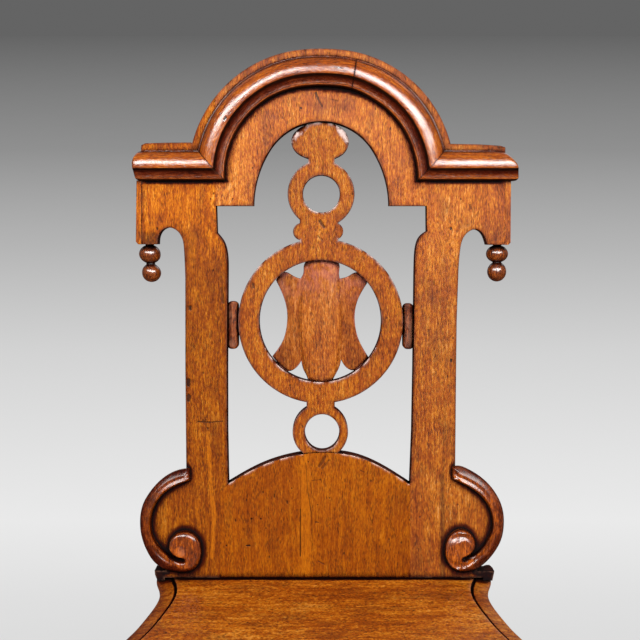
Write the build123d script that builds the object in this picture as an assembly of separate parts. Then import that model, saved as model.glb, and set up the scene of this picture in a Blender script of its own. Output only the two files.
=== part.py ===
from build123d import *
import math
import os

# Hall chair in oak, millimetres, +Z up, front towards -Y, +X to the viewer's right.
# Origin on the floor, under the middle of the chair's bounding box.

# ------------------------------------------------------------------ driving dimensions
SEAT_Z = 450.0          # top of the seat board
SEAT_T = 26.0           # seat board thickness
QUIRK_STEP = 3.0        # depth of the sunk line inside the seat's moulded edge
QUIRK_IN = 16.0         # distance of the sunk line from the seat's edge
SEAT_EDGE_R = 12.0      # rounding of the seat's moulded edge
SEAT_JOINT_Y = -175.0   # glue joint of the two seat boards, from the back's foot
RAKE = 7.88             # backward lean of the back, degrees
BACK_T = 24.0           # thickness of the back boards
BACK_X = -2.4           # the back stands a little left of the seat's centre
Y_SHIFT = 143.74        # from the back's foot line to the middle of the chair

ARCH_R = 116.5          # outer radius of the arch
ARCH_CX = 7.0           # half distance of the two outer arc centres
ARCH_CS = 377.3         # height of those centres above the seat, along the board
ARCH_TOP_HALF = 6.0     # half angle of the flatter arc that joins them, degrees
INNER_R = 56.5          # top radius of the inner arch
INNER_CS = 371.1        # its centre's height
INNER_HALF = 57.5       # its half angle, degrees
INNER_SIDE_R = 98.1     # radius of the inner arch's sides
SPRING_S = 349.5        # underside of the arch board, both sides of the opening
SEAM_X = 98.0           # glue joints between arch board and outer staves

MOULD_IN = 7.0          # the board's face stands this far outside the crest moulding
MOULD_W = 27.5          # width of the crest moulding
MOULD_TOP_S = 400.5     # upper edge of the straight crest mouldings
MOULD_SPLIT = 13.5      # butt joint of the arched moulding, degrees right of the top

SPLAT_T = 17.0          # splat thickness
SPLAT_BACK = 1.5        # the splat's face stands this far behind the back's face
RING_S = 242.0          # centre of the large ring
RING_RO = 77.0
RING_RI = 57.0
SMALL_S = 360.6         # centre of the small upper ring
SMALL_RO = 31.1
SMALL_RI = 17.2
LOW_S = 138.4           # centre of the small lower ring
LOW_RO = 26.0
LOW_HOLE_S = 137.7      # its hole is a little taller than wide
LOW_HOLE_X, LOW_HOLE_Y = 16.2, 17.1

BLOCK_L = 313.8         # undersides of the side blocks
BLOCK_R = 313.4

SCROLL_H = 9.0          # relief of the scrolls on the wings

RAIL_Z0 = 366.0         # lower edge of the seat rails
RAIL_T = 20.0
UNDER = SEAT_Z - SEAT_T # underside of the seat
FLEG_X = 168.0          # front leg axis
FLEG_Y = -326.0
FLEG_SQ = 44.0          # square block of the front leg
FLEG_BLOCK_Z = 352.0
RLEG_X0, RLEG_X1 = 116.0, 148.0
RLEG_Y0, RLEG_Y1 = -16.0, 24.0
HOLE_PLAY = 0.05        # play of dowels, pegs and pins in their holes

os.makedirs("parts", exist_ok=True)

sinr, cosr = math.sin(math.radians(RAKE)), math.cos(math.radians(RAKE))
BACK = Plane(origin=(BACK_X, 0, SEAT_Z), x_dir=(1, 0, 0), z_dir=(0, -cosr, sinr)).location
SHIFT = Location((0, Y_SHIFT, 0))

parts = {}


# ------------------------------------------------------------------ helpers
def pol(c, r, a):
    return (c[0] + r * math.cos(math.radians(a)), c[1] + r * math.sin(math.radians(a)))


def arc(c, r, a0, a1):
    return ThreePointArc(pol(c, r, a0), pol(c, r, (a0 + a1) / 2), pol(c, r, a1))


def face_of(*edges):
    """Closed face from edges and point lists laid end to end."""
    items = []
    for e in edges:
        if isinstance(e, list):
            items += Polyline(*e).edges()
        else:
            items += e.edges()
    return make_face(items)


def slab(sketch, z0, z1):
    return extrude(Pos(0, 0, z0) * sketch, amount=z1 - z0)


def box(x0, x1, y0, y1, z0, z1):
    return Pos((x0 + x1) / 2, (y0 + y1) / 2, (z0 + z1) / 2) * Box(x1 - x0, y1 - y0, z1 - z0)


def rod(p, q, r):
    """Round bar from p to q."""
    v = Vector(*q) - Vector(*p)
    pl = Plane(origin=p, z_dir=v.normalized())
    return pl.location * (Pos(0, 0, v.length / 2) * Cylinder(r, v.length))


def bars(specs):
    """Round bars from a list of (start, end, radius)."""
    return [rod(p, q, r) for p, q, r in specs]


def bores(specs):
    """The holes those bars sit in, a hair wider and longer."""
    out = []
    for p, q, r in specs:
        v = (Vector(*q) - Vector(*p)).normalized() * HOLE_PLAY
        out.append(rod(tuple(Vector(*p) - v), tuple(Vector(*q) + v), r + HOLE_PLAY))
    return out


def keep(name, shape, back=False):
    """Files one node, moved from the back's own plane where asked."""
    if back:
        shape = BACK * shape
    parts[name] = SHIFT * shape


def keep_group(name, solids, back=False):
    """Files a group of separate solids as one node."""
    placed = []
    for one in solids:
        one = one.solids()[0]
        if back:
            one = BACK * one
        placed.append((SHIFT * one).solids()[0])
    parts[name] = Compound(placed)


def above_seat(shape):
    """Cuts a back piece, in its own plane, level with the seat's top."""
    cutter = BACK.inverse() * box(-400, 400, -200, 300, SEAT_Z - 80, SEAT_Z)
    return shape - cutter


# ------------------------------------------------------------------ back boards, in the plane (x, along the board, out of the face)
rc, lc = (ARCH_CX, ARCH_CS), (-ARCH_CX, ARCH_CS)
a_seam = math.degrees(math.acos((SEAM_X - ARCH_CX) / ARCH_R))
a_spring = math.degrees(math.asin((407.0 - ARCH_CS) / ARCH_R))
top_r = ARCH_R + ARCH_CX / math.sin(math.radians(ARCH_TOP_HALF))
top_c = (0.0, ARCH_CS - (top_r - ARCH_R) * math.cos(math.radians(ARCH_TOP_HALF)))
T6 = ARCH_TOP_HALF

side_off = (INNER_SIDE_R - INNER_R)
isx = side_off * math.sin(math.radians(INNER_HALF))
iss = INNER_CS - side_off * math.cos(math.radians(INNER_HALF))
a_isp = math.degrees(math.asin((SPRING_S - iss) / INNER_SIDE_R))
ics_r, ics_l = (-isx, iss), (isx, iss)
p_in_r = pol(ics_r, INNER_SIDE_R, a_isp)
p_in_l = (-p_in_r[0], p_in_r[1])
p_out_r = pol(rc, ARCH_R, a_seam)
p_out_l = (-p_out_r[0], p_out_r[1])

crest_face = face_of(
    [p_in_r, (SEAM_X, SPRING_S), p_out_r],
    arc(rc, ARCH_R, a_seam, 90 - T6),
    arc(top_c, top_r, 90 - T6, 90 + T6),
    arc(lc, ARCH_R, 90 + T6, 180 - a_seam),
    [p_out_l, (-SEAM_X, SPRING_S), p_in_l],
    arc(ics_l, INNER_SIDE_R, 180 - a_isp, 90 + INNER_HALF),
    arc((0, INNER_CS), INNER_R, 90 + INNER_HALF, 90 - INNER_HALF),
    arc(ics_r, INNER_SIDE_R, 90 - INNER_HALF, a_isp),
)
crest_arch = slab(crest_face, -BACK_T, 0)

# outer staves: side block with its rounded cut-out, stile, wing, ear
# the left joint to the lower board lies a little outside the opening's edge
LEFT_JOINT = -94.9
p_sp_r = pol(rc, ARCH_R, a_spring)
right_face = face_of(
    arc(rc, ARCH_R, a_seam, a_spring),
    [p_sp_r, (119.1, 406.8), (146.9, 406.3), (165.4, 405.1), (170.5, 403.6), (170.5, BLOCK_R), (154.2, BLOCK_R)],
    Spline((154.2, BLOCK_R), (152.3, 319.6), (148.8, 325.2), (143.0, 327.7), (136.2, 325.0), (131.4, 318.5),
           (129.2, 309.0), (128.0, 296.0), (127.5, 284.0)),
    [(127.5, 284.0), (126.3, 243.0), (126.0, 198.5), (125.6, 102.2)],
    Spline((125.6, 102.2), (137.4, 98.9), (150.0, 89.6), (161.6, 77.0), (168.6, 63.6), (170.4, 52.0),
           (168.4, 37.9), (162.2, 25.3), (154.8, 16.2), (147.0, 10.5)),
    [(147.0, 10.5), (146.5, 6.4), (163.0, 6.4), (162.6, 4.0), (161.2, -2.6), (161.2, -8.0), (83.5, -8.0), (83.5, 88.4), (85.3, 138.4),
     (86.2, 198.5), (86.9, 283.5)],
    Spline((86.9, 283.5), (87.2, 298.0), (88.4, 312.0), (92.4, 321.5), (98.3, 326.0)),
    [(98.3, 326.0), (SEAM_X, SPRING_S), p_out_r],
)
left_face = face_of(
    arc(lc, ARCH_R, 180 - a_seam, 180 - a_spring),
    [(-p_sp_r[0], p_sp_r[1]), (-120.5, 408.1), (-144.6, 407.9), (-163.1, 407.3), (-166.6, 405.6), (-167.0, 403.4),
     (-167.0, BLOCK_L), (-152.2, BLOCK_L)],
    Spline((-152.2, BLOCK_L), (-151.3, 321.6), (-148.9, 326.0), (-142.5, 329.4), (-134.0, 326.4), (-129.4, 319.6),
           (-127.6, 308.4), (-126.6, 282.6)),
    [(-126.6, 282.6), (-126.8, 243.0), (-127.0, 198.5), (-126.6, 99.8)],
    Spline((-126.6, 99.8), (-134.0, 98.2), (-144.8, 92.0), (-156.8, 80.6), (-165.6, 68.2), (-168.9, 55.0),
           (-168.1, 40.8), (-163.3, 26.4), (-154.9, 14.2), (-147.0, 9.8)),
    [(-147.0, 9.8), (-146.5, 7.0), (-157.0, 7.0), (-156.6, 3.0), (-154.4, -2.6), (-154.4, -8.0), (LEFT_JOINT, -8.0), (LEFT_JOINT, 82.0), (-87.5, 89.3),
     (-88.3, 138.4),
     (-88.2, 198.5), (-87.3, 288.2)],
    Spline((-87.3, 288.2), (-88.3, 307.5), (-91.0, 316.2), (-97.3, 324.6)),
    [(-97.3, 324.6), (-SEAM_X, SPRING_S), p_out_l],
)
# outside the seat's sunk line the staves' feet stand a step lower
foot_cut = BACK.inverse() * box(-400, 400, -200, 300, SEAT_Z - 80, SEAT_Z - QUIRK_STEP + 0.02)
foot_right = slab(face_of([(152.2, 3.5), (152.2, -8.0), (161.2, -8.0), (161.2, -2.6), (162.49, 3.5), (152.2, 3.5)]), -BACK_T, 0) - foot_cut
foot_left = slab(face_of([(-147.4, 2.8), (-156.52, 2.8), (-154.4, -2.6), (-154.4, -8.0), (-147.4, -8.0), (-147.4, 2.8)]), -BACK_T, 0) - foot_cut
right_stave = above_seat(slab(right_face, -BACK_T, 0)) + foot_right
left_stave = above_seat(slab(left_face, -BACK_T, 0)) + foot_left

# lower board in two staves under one arched edge
PANEL_SEAM = -16.0
lower_face = face_of(
    [(83.5, 88.4), (83.5, -8.0), (LEFT_JOINT, -8.0), (LEFT_JOINT, 82.0), (-87.5, 89.3)],
    Spline((-87.5, 89.3), (-57.4, 105.9), (-30.0, 115.0), (0.0, 118.8), (34.6, 114.6), (59.7, 103.4), (83.5, 88.4)),
)
lower = above_seat(slab(lower_face, -BACK_T, 0))
lower_left = lower & box(-200, PANEL_SEAM, -50, 200, -50, 50)
lower_right = lower & box(PANEL_SEAM, 200, -50, 200, -50, 50)

# thin slips on the outer edges of the side blocks
slip_left = slab(face_of([(-172.4, 316.3), (-170.2, BLOCK_L), (-167.0, BLOCK_L), (-167.0, MOULD_TOP_S - MOULD_W),
                          (-171.4, MOULD_TOP_S - MOULD_W), (-172.4, 316.3)]), -BACK_T, 0)
slip_right = slab(face_of([(175.9, 315.4), (175.9, MOULD_TOP_S - MOULD_W), (170.5, MOULD_TOP_S - MOULD_W),
                           (170.5, BLOCK_R), (173.8, BLOCK_R), (175.9, 315.4)]), -BACK_T, 0)

# ------------------------------------------------------------------ splat
f0, f1 = -SPLAT_BACK - SPLAT_T, -SPLAT_BACK


def disc(x, s, r):
    return Pos(x, s) * Circle(r)


cap = face_of(Spline((-12.2, 393.4), (-22.0, 398.0), (-27.8, 407.5), (-25.6, 416.5), (-20.0, 422.0), (0.0, 427.3),
                     (18.6, 422.0), (23.6, 416.5), (25.6, 408.5), (20.6, 398.0), (12.4, 393.4)),
              [(12.4, 393.4), (-12.2, 393.4)])
splat_sk = (
    cap
    + face_of([(-12.2, 396.0), (-12.2, 380.0), (12.4, 380.0), (12.4, 396.0), (-12.2, 396.0)])
    + disc(-0.2, SMALL_S, SMALL_RO)
    + disc(-18.2, 325.6, 8.1)
    + disc(12.4, 326.0, 8.0)
    + face_of([(-20.0, 342.0), (-20.0, 306.0), (16.0, 306.0), (16.0, 342.0), (-20.0, 342.0)])
    + disc(-0.6, RING_S, RING_RO)
    + face_of([(-13.8, 176.0), (-13.8, 156.0), (12.6, 156.0), (12.6, 176.0), (-13.8, 176.0)])
    + disc(-0.9, LOW_S, LOW_RO)
    + face_of([(-15.5, 122.0), (-15.5, 106.0), (13.8, 106.0), (13.8, 122.0), (-15.5, 122.0)])
)
splat_sk = splat_sk - disc(0.1, SMALL_S, SMALL_RI) - disc(-0.9, RING_S, RING_RI) - Pos(0.8, LOW_HOLE_S) * Ellipse(LOW_HOLE_X, LOW_HOLE_Y)
splat = slab(splat_sk, f0, f1) - slab(lower_face, -60, 60)
splat = splat - slab(crest_face, -60, 60)

# cartouche, set back in the large ring, with a raised middle
cart_face = face_of(
    Spline((-12.8, 300.4), (-16.4, 293.5), (-16.8, 287.0), (-19.5, 281.5)),
    Spline((-19.5, 281.5), (-25.0, 283.4), (-30.3, 286.6), (-34.4, 287.8), (-39.8, 284.4), (-42.6, 280.2)),
    Spline((-42.6, 280.2), (-35.3, 264.2), (-32.2, 251.0), (-32.6, 236.7), (-36.6, 222.3), (-46.0, 208.4)),
    Spline((-46.0, 208.4), (-39.5, 200.0), (-32.0, 194.4), (-24.5, 197.0), (-18.7, 204.2)),
    Spline((-18.7, 204.2), (-16.8, 196.0), (-13.5, 189.5), (-12.4, 183.6)),
    [(-12.4, 183.6), (9.6, 183.6)],
    Spline((9.6, 183.6), (12.6, 190.0), (16.4, 197.0), (18.7, 205.2)),
    Spline((18.7, 205.2), (23.5, 198.0), (30.6, 195.2), (38.0, 200.0), (44.4, 207.6)),
    Spline((44.4, 207.6), (35.6, 223.4), (31.7, 239.0), (31.7, 251.0), (34.4, 261.8), (43.2, 277.6)),
    Spline((43.2, 277.6), (39.4, 284.0), (32.6, 287.4), (25.4, 283.8), (17.4, 281.5)),
    Spline((17.4, 281.5), (16.6, 287.0), (17.2, 293.5), (14.2, 300.4)),
    [(14.2, 300.4), (-12.8, 300.4)],
)
cart_low = slab(cart_face, -18.0, -10.0)
cart_mid = slab(face_of(Spline((-13.0, 299.0), (-19.0, 270.0), (-18.5, 230.0), (-12.0, 185.0)),
                        [(-12.0, 185.0), (9.5, 185.0)],
                        Spline((9.5, 185.0), (17.5, 230.0), (18.0, 270.0), (14.0, 299.0)),
                        [(14.0, 299.0), (-13.0, 299.0)]), -18.0, -6.5)
cartouche = (cart_low + (cart_mid & slab(cart_face, -30, 5))) & slab(Pos(-0.9, RING_S) * Circle(RING_RI), -60, 60)


# lugs between ring and stiles
def lug(xa, xb, s0, s1):
    w = xb - xa
    body = slab(Pos((xa + xb) / 2, (s0 + s1) / 2) * RectangleRounded(w, s1 - s0, w * 0.47), -17.0, -4.0)
    return body


lug_left = lug(-89.5, -75.0, 216.0, 260.4) - slab(left_face, -60, 60) - slab(disc(-0.6, RING_S, RING_RO), -60, 60)
lug_right = lug(73.0, 88.5, 215.8, 258.4) - slab(right_face, -60, 60) - slab(disc(-0.6, RING_S, RING_RO), -60, 60)


# ------------------------------------------------------------------ crest mouldings
def profile_edges(px):
    """Moulding section: px(d, h) places distance-from-top and projection."""
    e = []
    e += Polyline(px(0, 0), px(0, 3.0), px(1.2, 3.0)).edges()
    e += ThreePointArc(px(1.2, 3.0), px(6.6, 10.4), px(16.6, 12.5)).edges()
    e += Polyline(px(16.6, 12.5), px(17.4, 10.8)).edges()
    e += ThreePointArc(px(17.4, 10.8), px(20.2, 7.1), px(24.5, 5.9)).edges()
    e += Polyline(px(24.5, 5.9), px(25.2, 6.6), px(26.2, 6.3), px(27.5, 3.4), px(27.5, 0), px(0, 0)).edges()
    return e


def arch_piece(c, r_out, a0, a1):
    """Moulding swept about centre c from angle a0 to a1."""
    face = make_face(profile_edges(lambda d, h: (c[0] + r_out - d, c[1], h)))
    turned = revolve(face, Axis((c[0], c[1], 0), (0, 0, 1)), revolution_arc=a1 - a0)
    about = Pos(c[0], c[1], 0) * Rot(0, 0, a0) * Pos(-c[0], -c[1], 0)
    return about * turned


r_m = ARCH_R - MOULD_IN
r_mt = top_r - MOULD_IN
s_bot = MOULD_TOP_S - MOULD_W
x_top = ARCH_CX + math.sqrt(r_m ** 2 - (MOULD_TOP_S - ARCH_CS) ** 2)
x_bot = ARCH_CX + math.sqrt((r_m - MOULD_W) ** 2 - (s_bot - ARCH_CS) ** 2)
# mitre line from (x_bot, s_bot) to (x_top, MOULD_TOP_S), run on beyond both ends
mx, ms = x_top - x_bot, MOULD_TOP_S - s_bot
m0 = (x_bot - 6 * mx, s_bot - 6 * ms)
m1 = (x_bot + 8 * mx, s_bot + 8 * ms)
arch_side_r = slab(face_of([m0, m1, (m1[0] - 400, m1[1]), (m0[0] - 400, m0[1]), m0]), -60, 60)
straight_side_r = slab(face_of([m0, m1, (m1[0] + 400, m1[1]), (m0[0] + 400, m0[1]), m0]), -60, 60)
flip = Plane.YZ

right_arc = arch_piece(rc, r_m, -20, 90 - T6) & arch_side_r
left_arc = mirror(right_arc, about=flip)
top_arc = arch_piece(top_c, r_mt, 90 - T6, 90 + T6)
split = 90 - MOULD_SPLIT
split_c = rc
arch_right = arch_piece(rc, r_m, -20, split) & arch_side_r
arch_left = left_arc + top_arc + arch_piece(rc, r_m, split, 90 - T6)

right_end_x, left_end_x = 170.5, -167.0
# the straight mouldings run past the side blocks and are rounded off there
right_end = face_of([(60, 373.0), (60, 400.5), (160.0, 400.5)],
                    Spline((160.0, 400.5), (168.5, 398.8), (173.5, 395.2), (177.6, 391.4), (180.4, 387.2), (181.8, 382.6), (182.3, 377.5),
                           (182.2, 375.2), (180.6, 373.0)),
                    [(180.6, 373.0), (60, 373.0)])
left_end = face_of([(-60, 400.5), (-60, 373.0), (-169.6, 373.0)],
                   Spline((-169.6, 373.0), (-171.6, 374.6), (-172.6, 377.0), (-173.5, 381.0), (-174.1, 386.4), (-173.8, 391.4),
                          (-172.2, 395.6), (-168.8, 399.4), (-163.5, 400.5)),
                   [(-163.5, 400.5), (-60, 400.5)])


def straight(x0, x1):
    face = make_face(profile_edges(lambda d, h: (x0, MOULD_TOP_S - d, h)))
    return extrude(face, amount=x1 - x0, dir=(1, 0, 0))


def return_piece(end, x, way):
    """End block that carries the moulding's rounded end back over the board's thickness."""
    near, far = min(x, x + way * 40), max(x, x + way * 40)
    return slab(end, -BACK_T, 0) & box(near, far, 300, 450, -60, 10)


moulding_right = (straight(60, 200) & straight_side_r) & slab(right_end, -1, 30)
moulding_left = (straight(-200, -60) & mirror(straight_side_r, about=flip)) & slab(left_end, -1, 30)
return_right = return_piece(right_end, right_end_x, 1)
return_left = return_piece(left_end, left_end_x, -1)


# ------------------------------------------------------------------ pendants: two turned balls under a short neck
def pendant(x, s_top, r1, r2, dx, c1, h1, c2, h2):
    """Upper ball of radius r1 and half height h1 about c1, lower ball r2, h2 about c2, dx to its side."""
    def ball(x, s, rx, ry):
        pts = [(x + rx * math.cos(math.radians(a)), s + ry * math.sin(math.radians(a))) for a in range(-90, 91, 30)]
        pts[0], pts[-1] = (x, s - ry), (x, s + ry)
        half_ball = face_of(Spline(*pts, tangents=((1, 0), (-1, 0))), [pts[-1], pts[0]])
        return revolve(half_ball, Axis((x, s, 0), (0, 1, 0)))
    b = ball(x, c1, r1, h1)
    b += ball(x + dx, c2, r2, h2)
    b += rod((x, c2 + 4.0, 0), (x, s_top, 0), 4.0)
    b += rod((x, s_top - 0.01, 0), (x, s_top + 18.0, 0), 3.5)
    return Pos(0, 0, -12.0) * b


pendant_left = pendant(-160.7, BLOCK_L, 10.1, 8.9, 1.6, 304.6, 8.9, 287.1, 8.7)
pendant_right = pendant(164.7, BLOCK_R, 10.3, 8.9, -0.2, 304.9, 8.3, 288.2, 9.3)
hole_pl = rod((-160.7, 300.0, -12.0), (-160.7, BLOCK_L + 18.1, -12.0), 3.5 + HOLE_PLAY)
hole_pr = rod((164.7, 300.0, -12.0), (164.7, BLOCK_R + 18.1, -12.0), 3.5 + HOLE_PLAY)
left_stave -= hole_pl
right_stave -= hole_pr

# ------------------------------------------------------------------ scrolls: raised band that rolls into a round eye
scroll_r_face = face_of(
    Spline((122.2, 105.6), (125.6, 106.7), (138.1, 103.4), (152.4, 93.8), (163.9, 80.2), (170.1, 64.9), (171.1, 52.3),
           (168.8, 37.9), (162.3, 25.3), (154.7, 16.2), (146.5, 10.2), (137.0, 7.4)),
    Spline((137.0, 7.4), (130.8, 7.2), (122.5, 11.0), (117.2, 18.5), (115.9, 28.5), (118.6, 38.6), (124.6, 45.2),
           (131.2, 47.2), (138.5, 44.6), (143.4, 38.6), (144.6, 32.2), (143.4, 26.6), (141.2, 22.6)),
    Spline((141.2, 22.6), (149.0, 27.9), (154.6, 35.6), (159.2, 45.6), (160.2, 55.3), (156.4, 68.6), (147.7, 80.0),
           (136.2, 88.0), (122.8, 94.8)),
    [(122.8, 94.8), (122.2, 105.6)],
)
scroll_l_face = face_of(
    Spline((-122.8, 104.4), (-126.8, 104.2), (-134.4, 102.7), (-146.7, 96.4), (-159.2, 84.0), (-167.4, 69.7),
           (-169.8, 55.3), (-168.5, 40.8), (-163.4, 26.4), (-154.8, 14.3), (-146.0, 9.2), (-136.0, 7.2)),
    Spline((-136.0, 7.2), (-127.5, 6.8), (-119.6, 9.6), (-114.0, 17.0), (-112.4, 28.6), (-115.0, 38.0), (-120.5, 43.6),
           (-128.3, 45.6), (-135.8, 43.4), (-141.6, 37.4), (-143.0, 30.6), (-142.4, 25.6), (-140.4, 21.4)),
    Spline((-140.4, 21.4), (-147.2, 26.6), (-155.6, 36.4), (-159.4, 50.5), (-156.4, 66.8), (-146.8, 81.2),
           (-134.5, 88.9), (-122.8, 93.4)),
    [(-122.8, 93.4), (-122.8, 104.4)],
)
scroll_right = above_seat(slab(scroll_r_face, 0, SCROLL_H))
scroll_left = above_seat(slab(scroll_l_face, 0, SCROLL_H))

# ------------------------------------------------------------------ stub tenons of the outer staves, through the seat
to_seat = BACK.inverse()
under_seat_cut = to_seat * box(-400, 400, -200, 300, UNDER - 100, UNDER)
over_seat_cut = to_seat * box(-400, 400, -200, 300, SEAT_Z, SEAT_Z + 200)


def tenon(x0, x1, clear=0.0):
    t = box(x0, x1, -60, 30, -18.0, -6.0)
    return t - under_seat_cut - over_seat_cut


ten_r, ten_l = tenon(98.0, 148.0), tenon(-148.0, -98.0)


def wedge(x):
    """Slim wedge driven up into the tenon's end."""
    f = make_face(Polyline((x - 1.6, -30.0, 0), (x + 1.6, -30.0, 0), (x + 0.3, -6.0, 0), (x - 0.3, -6.0, 0), (x - 1.6, -30.0, 0)))
    return (Pos(0, 0, -18.0) * extrude(f, amount=12.0, dir=(0, 0, 1))) - under_seat_cut


wedges = [wedge(x) for x in (112.0, 134.0, -112.0, -134.0)]
right_stave = right_stave + ten_r
left_stave = left_stave + ten_l
for w in wedges[:2]:
    right_stave -= w
for w in wedges[2:]:
    left_stave -= w

# ------------------------------------------------------------------ dowels, pins and nails of the back
crest_dowels = [((sx * 80, s, -12), (sx * e, s, -12), 4.5) for sx in (-1, 1) for s, e in ((372.0, 116), (425.0, 107))]
panel_dowels = ([((67, s, -12), (101, s, -12), 4.5) for s in (28.0, 66.0)]
                + [((-112.5, s, -12), (-76.5, s, -12), 4.5) for s in (28.0, 66.0)]
                + [((-34, s, -12), (2, s, -12), 4.5) for s in (32.0, 80.0)])
splat_dowels = [((0, 412, -12), (0, 442, -12), 4.0), ((-1, 104, -12), (-1, 120.5, -12), 4.0)]
lug_dowels = [((-97, 238.2, -11), (-66, 238.2, -11), 2.5), ((65, 237.1, -11), (96, 237.1, -11), 2.5)]
pin_spots = [(-155, 392), (-125, 392), (155, 391), (126, 391)] + [
    pol((0, ARCH_CS), r_m - 8, a) for a in (20, 50, 70, 110, 130, 160)]
moulding_pins = [((x, s, -14.0), (x, s, 8.0), 0.8) for x, s in pin_spots]
scroll_pins = [((x, s, -10.0), (x, s, 5.5), 1.5) for x, s in
               ((-130, 26), (-163, 60), (-133, 96), (131, 28), (165, 58), (134, 98))]
slip_nails = [((-172.0, 341.0, -6.0), (-150, 341.0, -6.0), 1.1), ((-171.6, 358.0, -17.0), (-150, 358.0, -17.0), 1.1),
              ((175.9, 336.0, -7.0), (152, 336.0, -7.0), 1.1), ((175.9, 360.0, -17.0), (152, 360.0, -17.0), 1.1)]


def cut_all(shape, tools):
    for t in tools:
        shape = shape - t
    return shape


def drill(shape, specs):
    return cut_all(shape, bores(specs))


crest_arch = drill(crest_arch, crest_dowels + splat_dowels[:1] + moulding_pins)
left_stave = drill(left_stave, crest_dowels[:2] + panel_dowels[2:4] + lug_dowels[:1] + moulding_pins + scroll_pins[:3] + slip_nails[:2])
right_stave = drill(right_stave, crest_dowels[2:] + panel_dowels[:2] + lug_dowels[1:] + moulding_pins + scroll_pins[3:] + slip_nails[2:])
lower_left = drill(lower_left, panel_dowels[2:] + splat_dowels[1:])
lower_right = drill(lower_right, panel_dowels[:2] + panel_dowels[4:] + splat_dowels[1:])
splat = drill(splat, splat_dowels + lug_dowels)
lug_left = drill(lug_left, lug_dowels[:1])
lug_right = drill(lug_right, lug_dowels[1:])
slip_left = drill(slip_left, slip_nails[:2])
slip_right = drill(slip_right, slip_nails[2:])
moulding_left = drill(moulding_left, moulding_pins[:2])
moulding_right = drill(moulding_right, moulding_pins[2:4])
arch_left = drill(arch_left, moulding_pins[4:])
arch_right = drill(arch_right, moulding_pins[4:])
scroll_left = drill(scroll_left, scroll_pins[:3])
scroll_right = drill(scroll_right, scroll_pins[3:])

for name, shape in {
    "left_stave": left_stave, "right_stave": right_stave, "crest_arch": crest_arch,
    "lower_panel_left": lower_left, "lower_panel_right": lower_right,
    "side_slip_left": slip_left, "side_slip_right": slip_right,
    "splat": splat, "cartouche": cartouche, "lug_left": lug_left, "lug_right": lug_right,
    "moulding_left": moulding_left, "moulding_right": moulding_right,
    "moulding_arch_left": arch_left, "moulding_arch_right": arch_right,
    "moulding_return_left": return_left, "moulding_return_right": return_right,
    "pendant_left": pendant_left, "pendant_right": pendant_right,
    "scroll_left": scroll_left, "scroll_right": scroll_right,
}.items():
    keep(name, shape, back=True)
keep_group("tenon_wedges", wedges, back=True)
for name, specs in {
    "crest_dowels": crest_dowels, "panel_dowels": panel_dowels, "splat_dowels": splat_dowels,
    "lug_dowels": lug_dowels, "moulding_pins": moulding_pins, "scroll_pins": scroll_pins, "slip_nails": slip_nails,
}.items():
    keep_group(name, bars(specs), back=True)

# ------------------------------------------------------------------ seat
# right half of the outline, from the rear corner to the middle of the front edge
half = [(158.6, 29.0), (158.6, 15.0), (157.4, 0.0), (153.7, -16.0), (151.6, -29.0), (151.2, -41.0), (152.1, -52.0),
        (155.2, -72.0), (159.2, -92.3), (164.0, -113.7), (170.2, -135.0), (182.6, -180.0), (195.0, -230.0),
        (204.5, -280.0), (209.3, -318.0), (208.0, -342.0), (198.0, -358.0), (178.0, -366.5), (140.0, -370.5),
        (80.0, -375.0), (0.0, -379.0)]


def seat_section(inset, z):
    """Seat outline set in by the given amount at the sides and front, at height z."""
    pts = []
    for i, (x, y) in enumerate(half):
        if i == 0:
            pts.append((x - inset, y))
            continue
        if i == len(half) - 1:
            pts.append((0.0, y + inset))
            continue
        tx, ty = half[i + 1][0] - half[i - 1][0], half[i + 1][1] - half[i - 1][1]
        n = math.hypot(tx, ty)
        pts.append((x + inset * ty / n, y - inset * tx / n))
    left = Spline(*[(-x, y) for x, y in reversed(pts)], tangents=((-1.0, 0.0), (0.0, 1.0)))
    rim = Polyline((-pts[0][0], pts[0][1]), (0.0, pts[0][1]), (0.0, pts[-1][1]))
    return Pos(0, 0, z) * make_face(list(rim.edges()) + list(left.edges()))


z_step = SEAT_Z - QUIRK_STEP
sections = [seat_section(6.0, UNDER), seat_section(4.0, UNDER + 9.0), seat_section(1.0, z_step - 5.4),
            seat_section(0.0, z_step - 3.0), seat_section(0.8, z_step - 1.2), seat_section(3.0, z_step - 0.5),
            seat_section(QUIRK_IN, z_step)]
board = loft(sections, ruled=True)
board = board + slab(seat_section(QUIRK_IN, 0), z_step, SEAT_Z)
board = board + mirror(board, about=flip)
board = board - (BACK * (ten_r + ten_l))
rear_board = board & box(-300, 300, SEAT_JOINT_Y, 100, 0, 600)
front_board = board & box(-300, 300, -500, SEAT_JOINT_Y, 0, 600)
tongue = box(-160, 160, SEAT_JOINT_Y - 9, SEAT_JOINT_Y + 9, UNDER + 9, UNDER + 15)
rear_board -= tongue
front_board -= tongue

# ------------------------------------------------------------------ rails
# side rails run from the rear legs out to the front legs
dxdy = (158.0 - 120.0) / (-304.0 + 16.0)


def side_x(y, x0=120.0):
    return x0 + (y + 16.0) * dxdy


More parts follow.
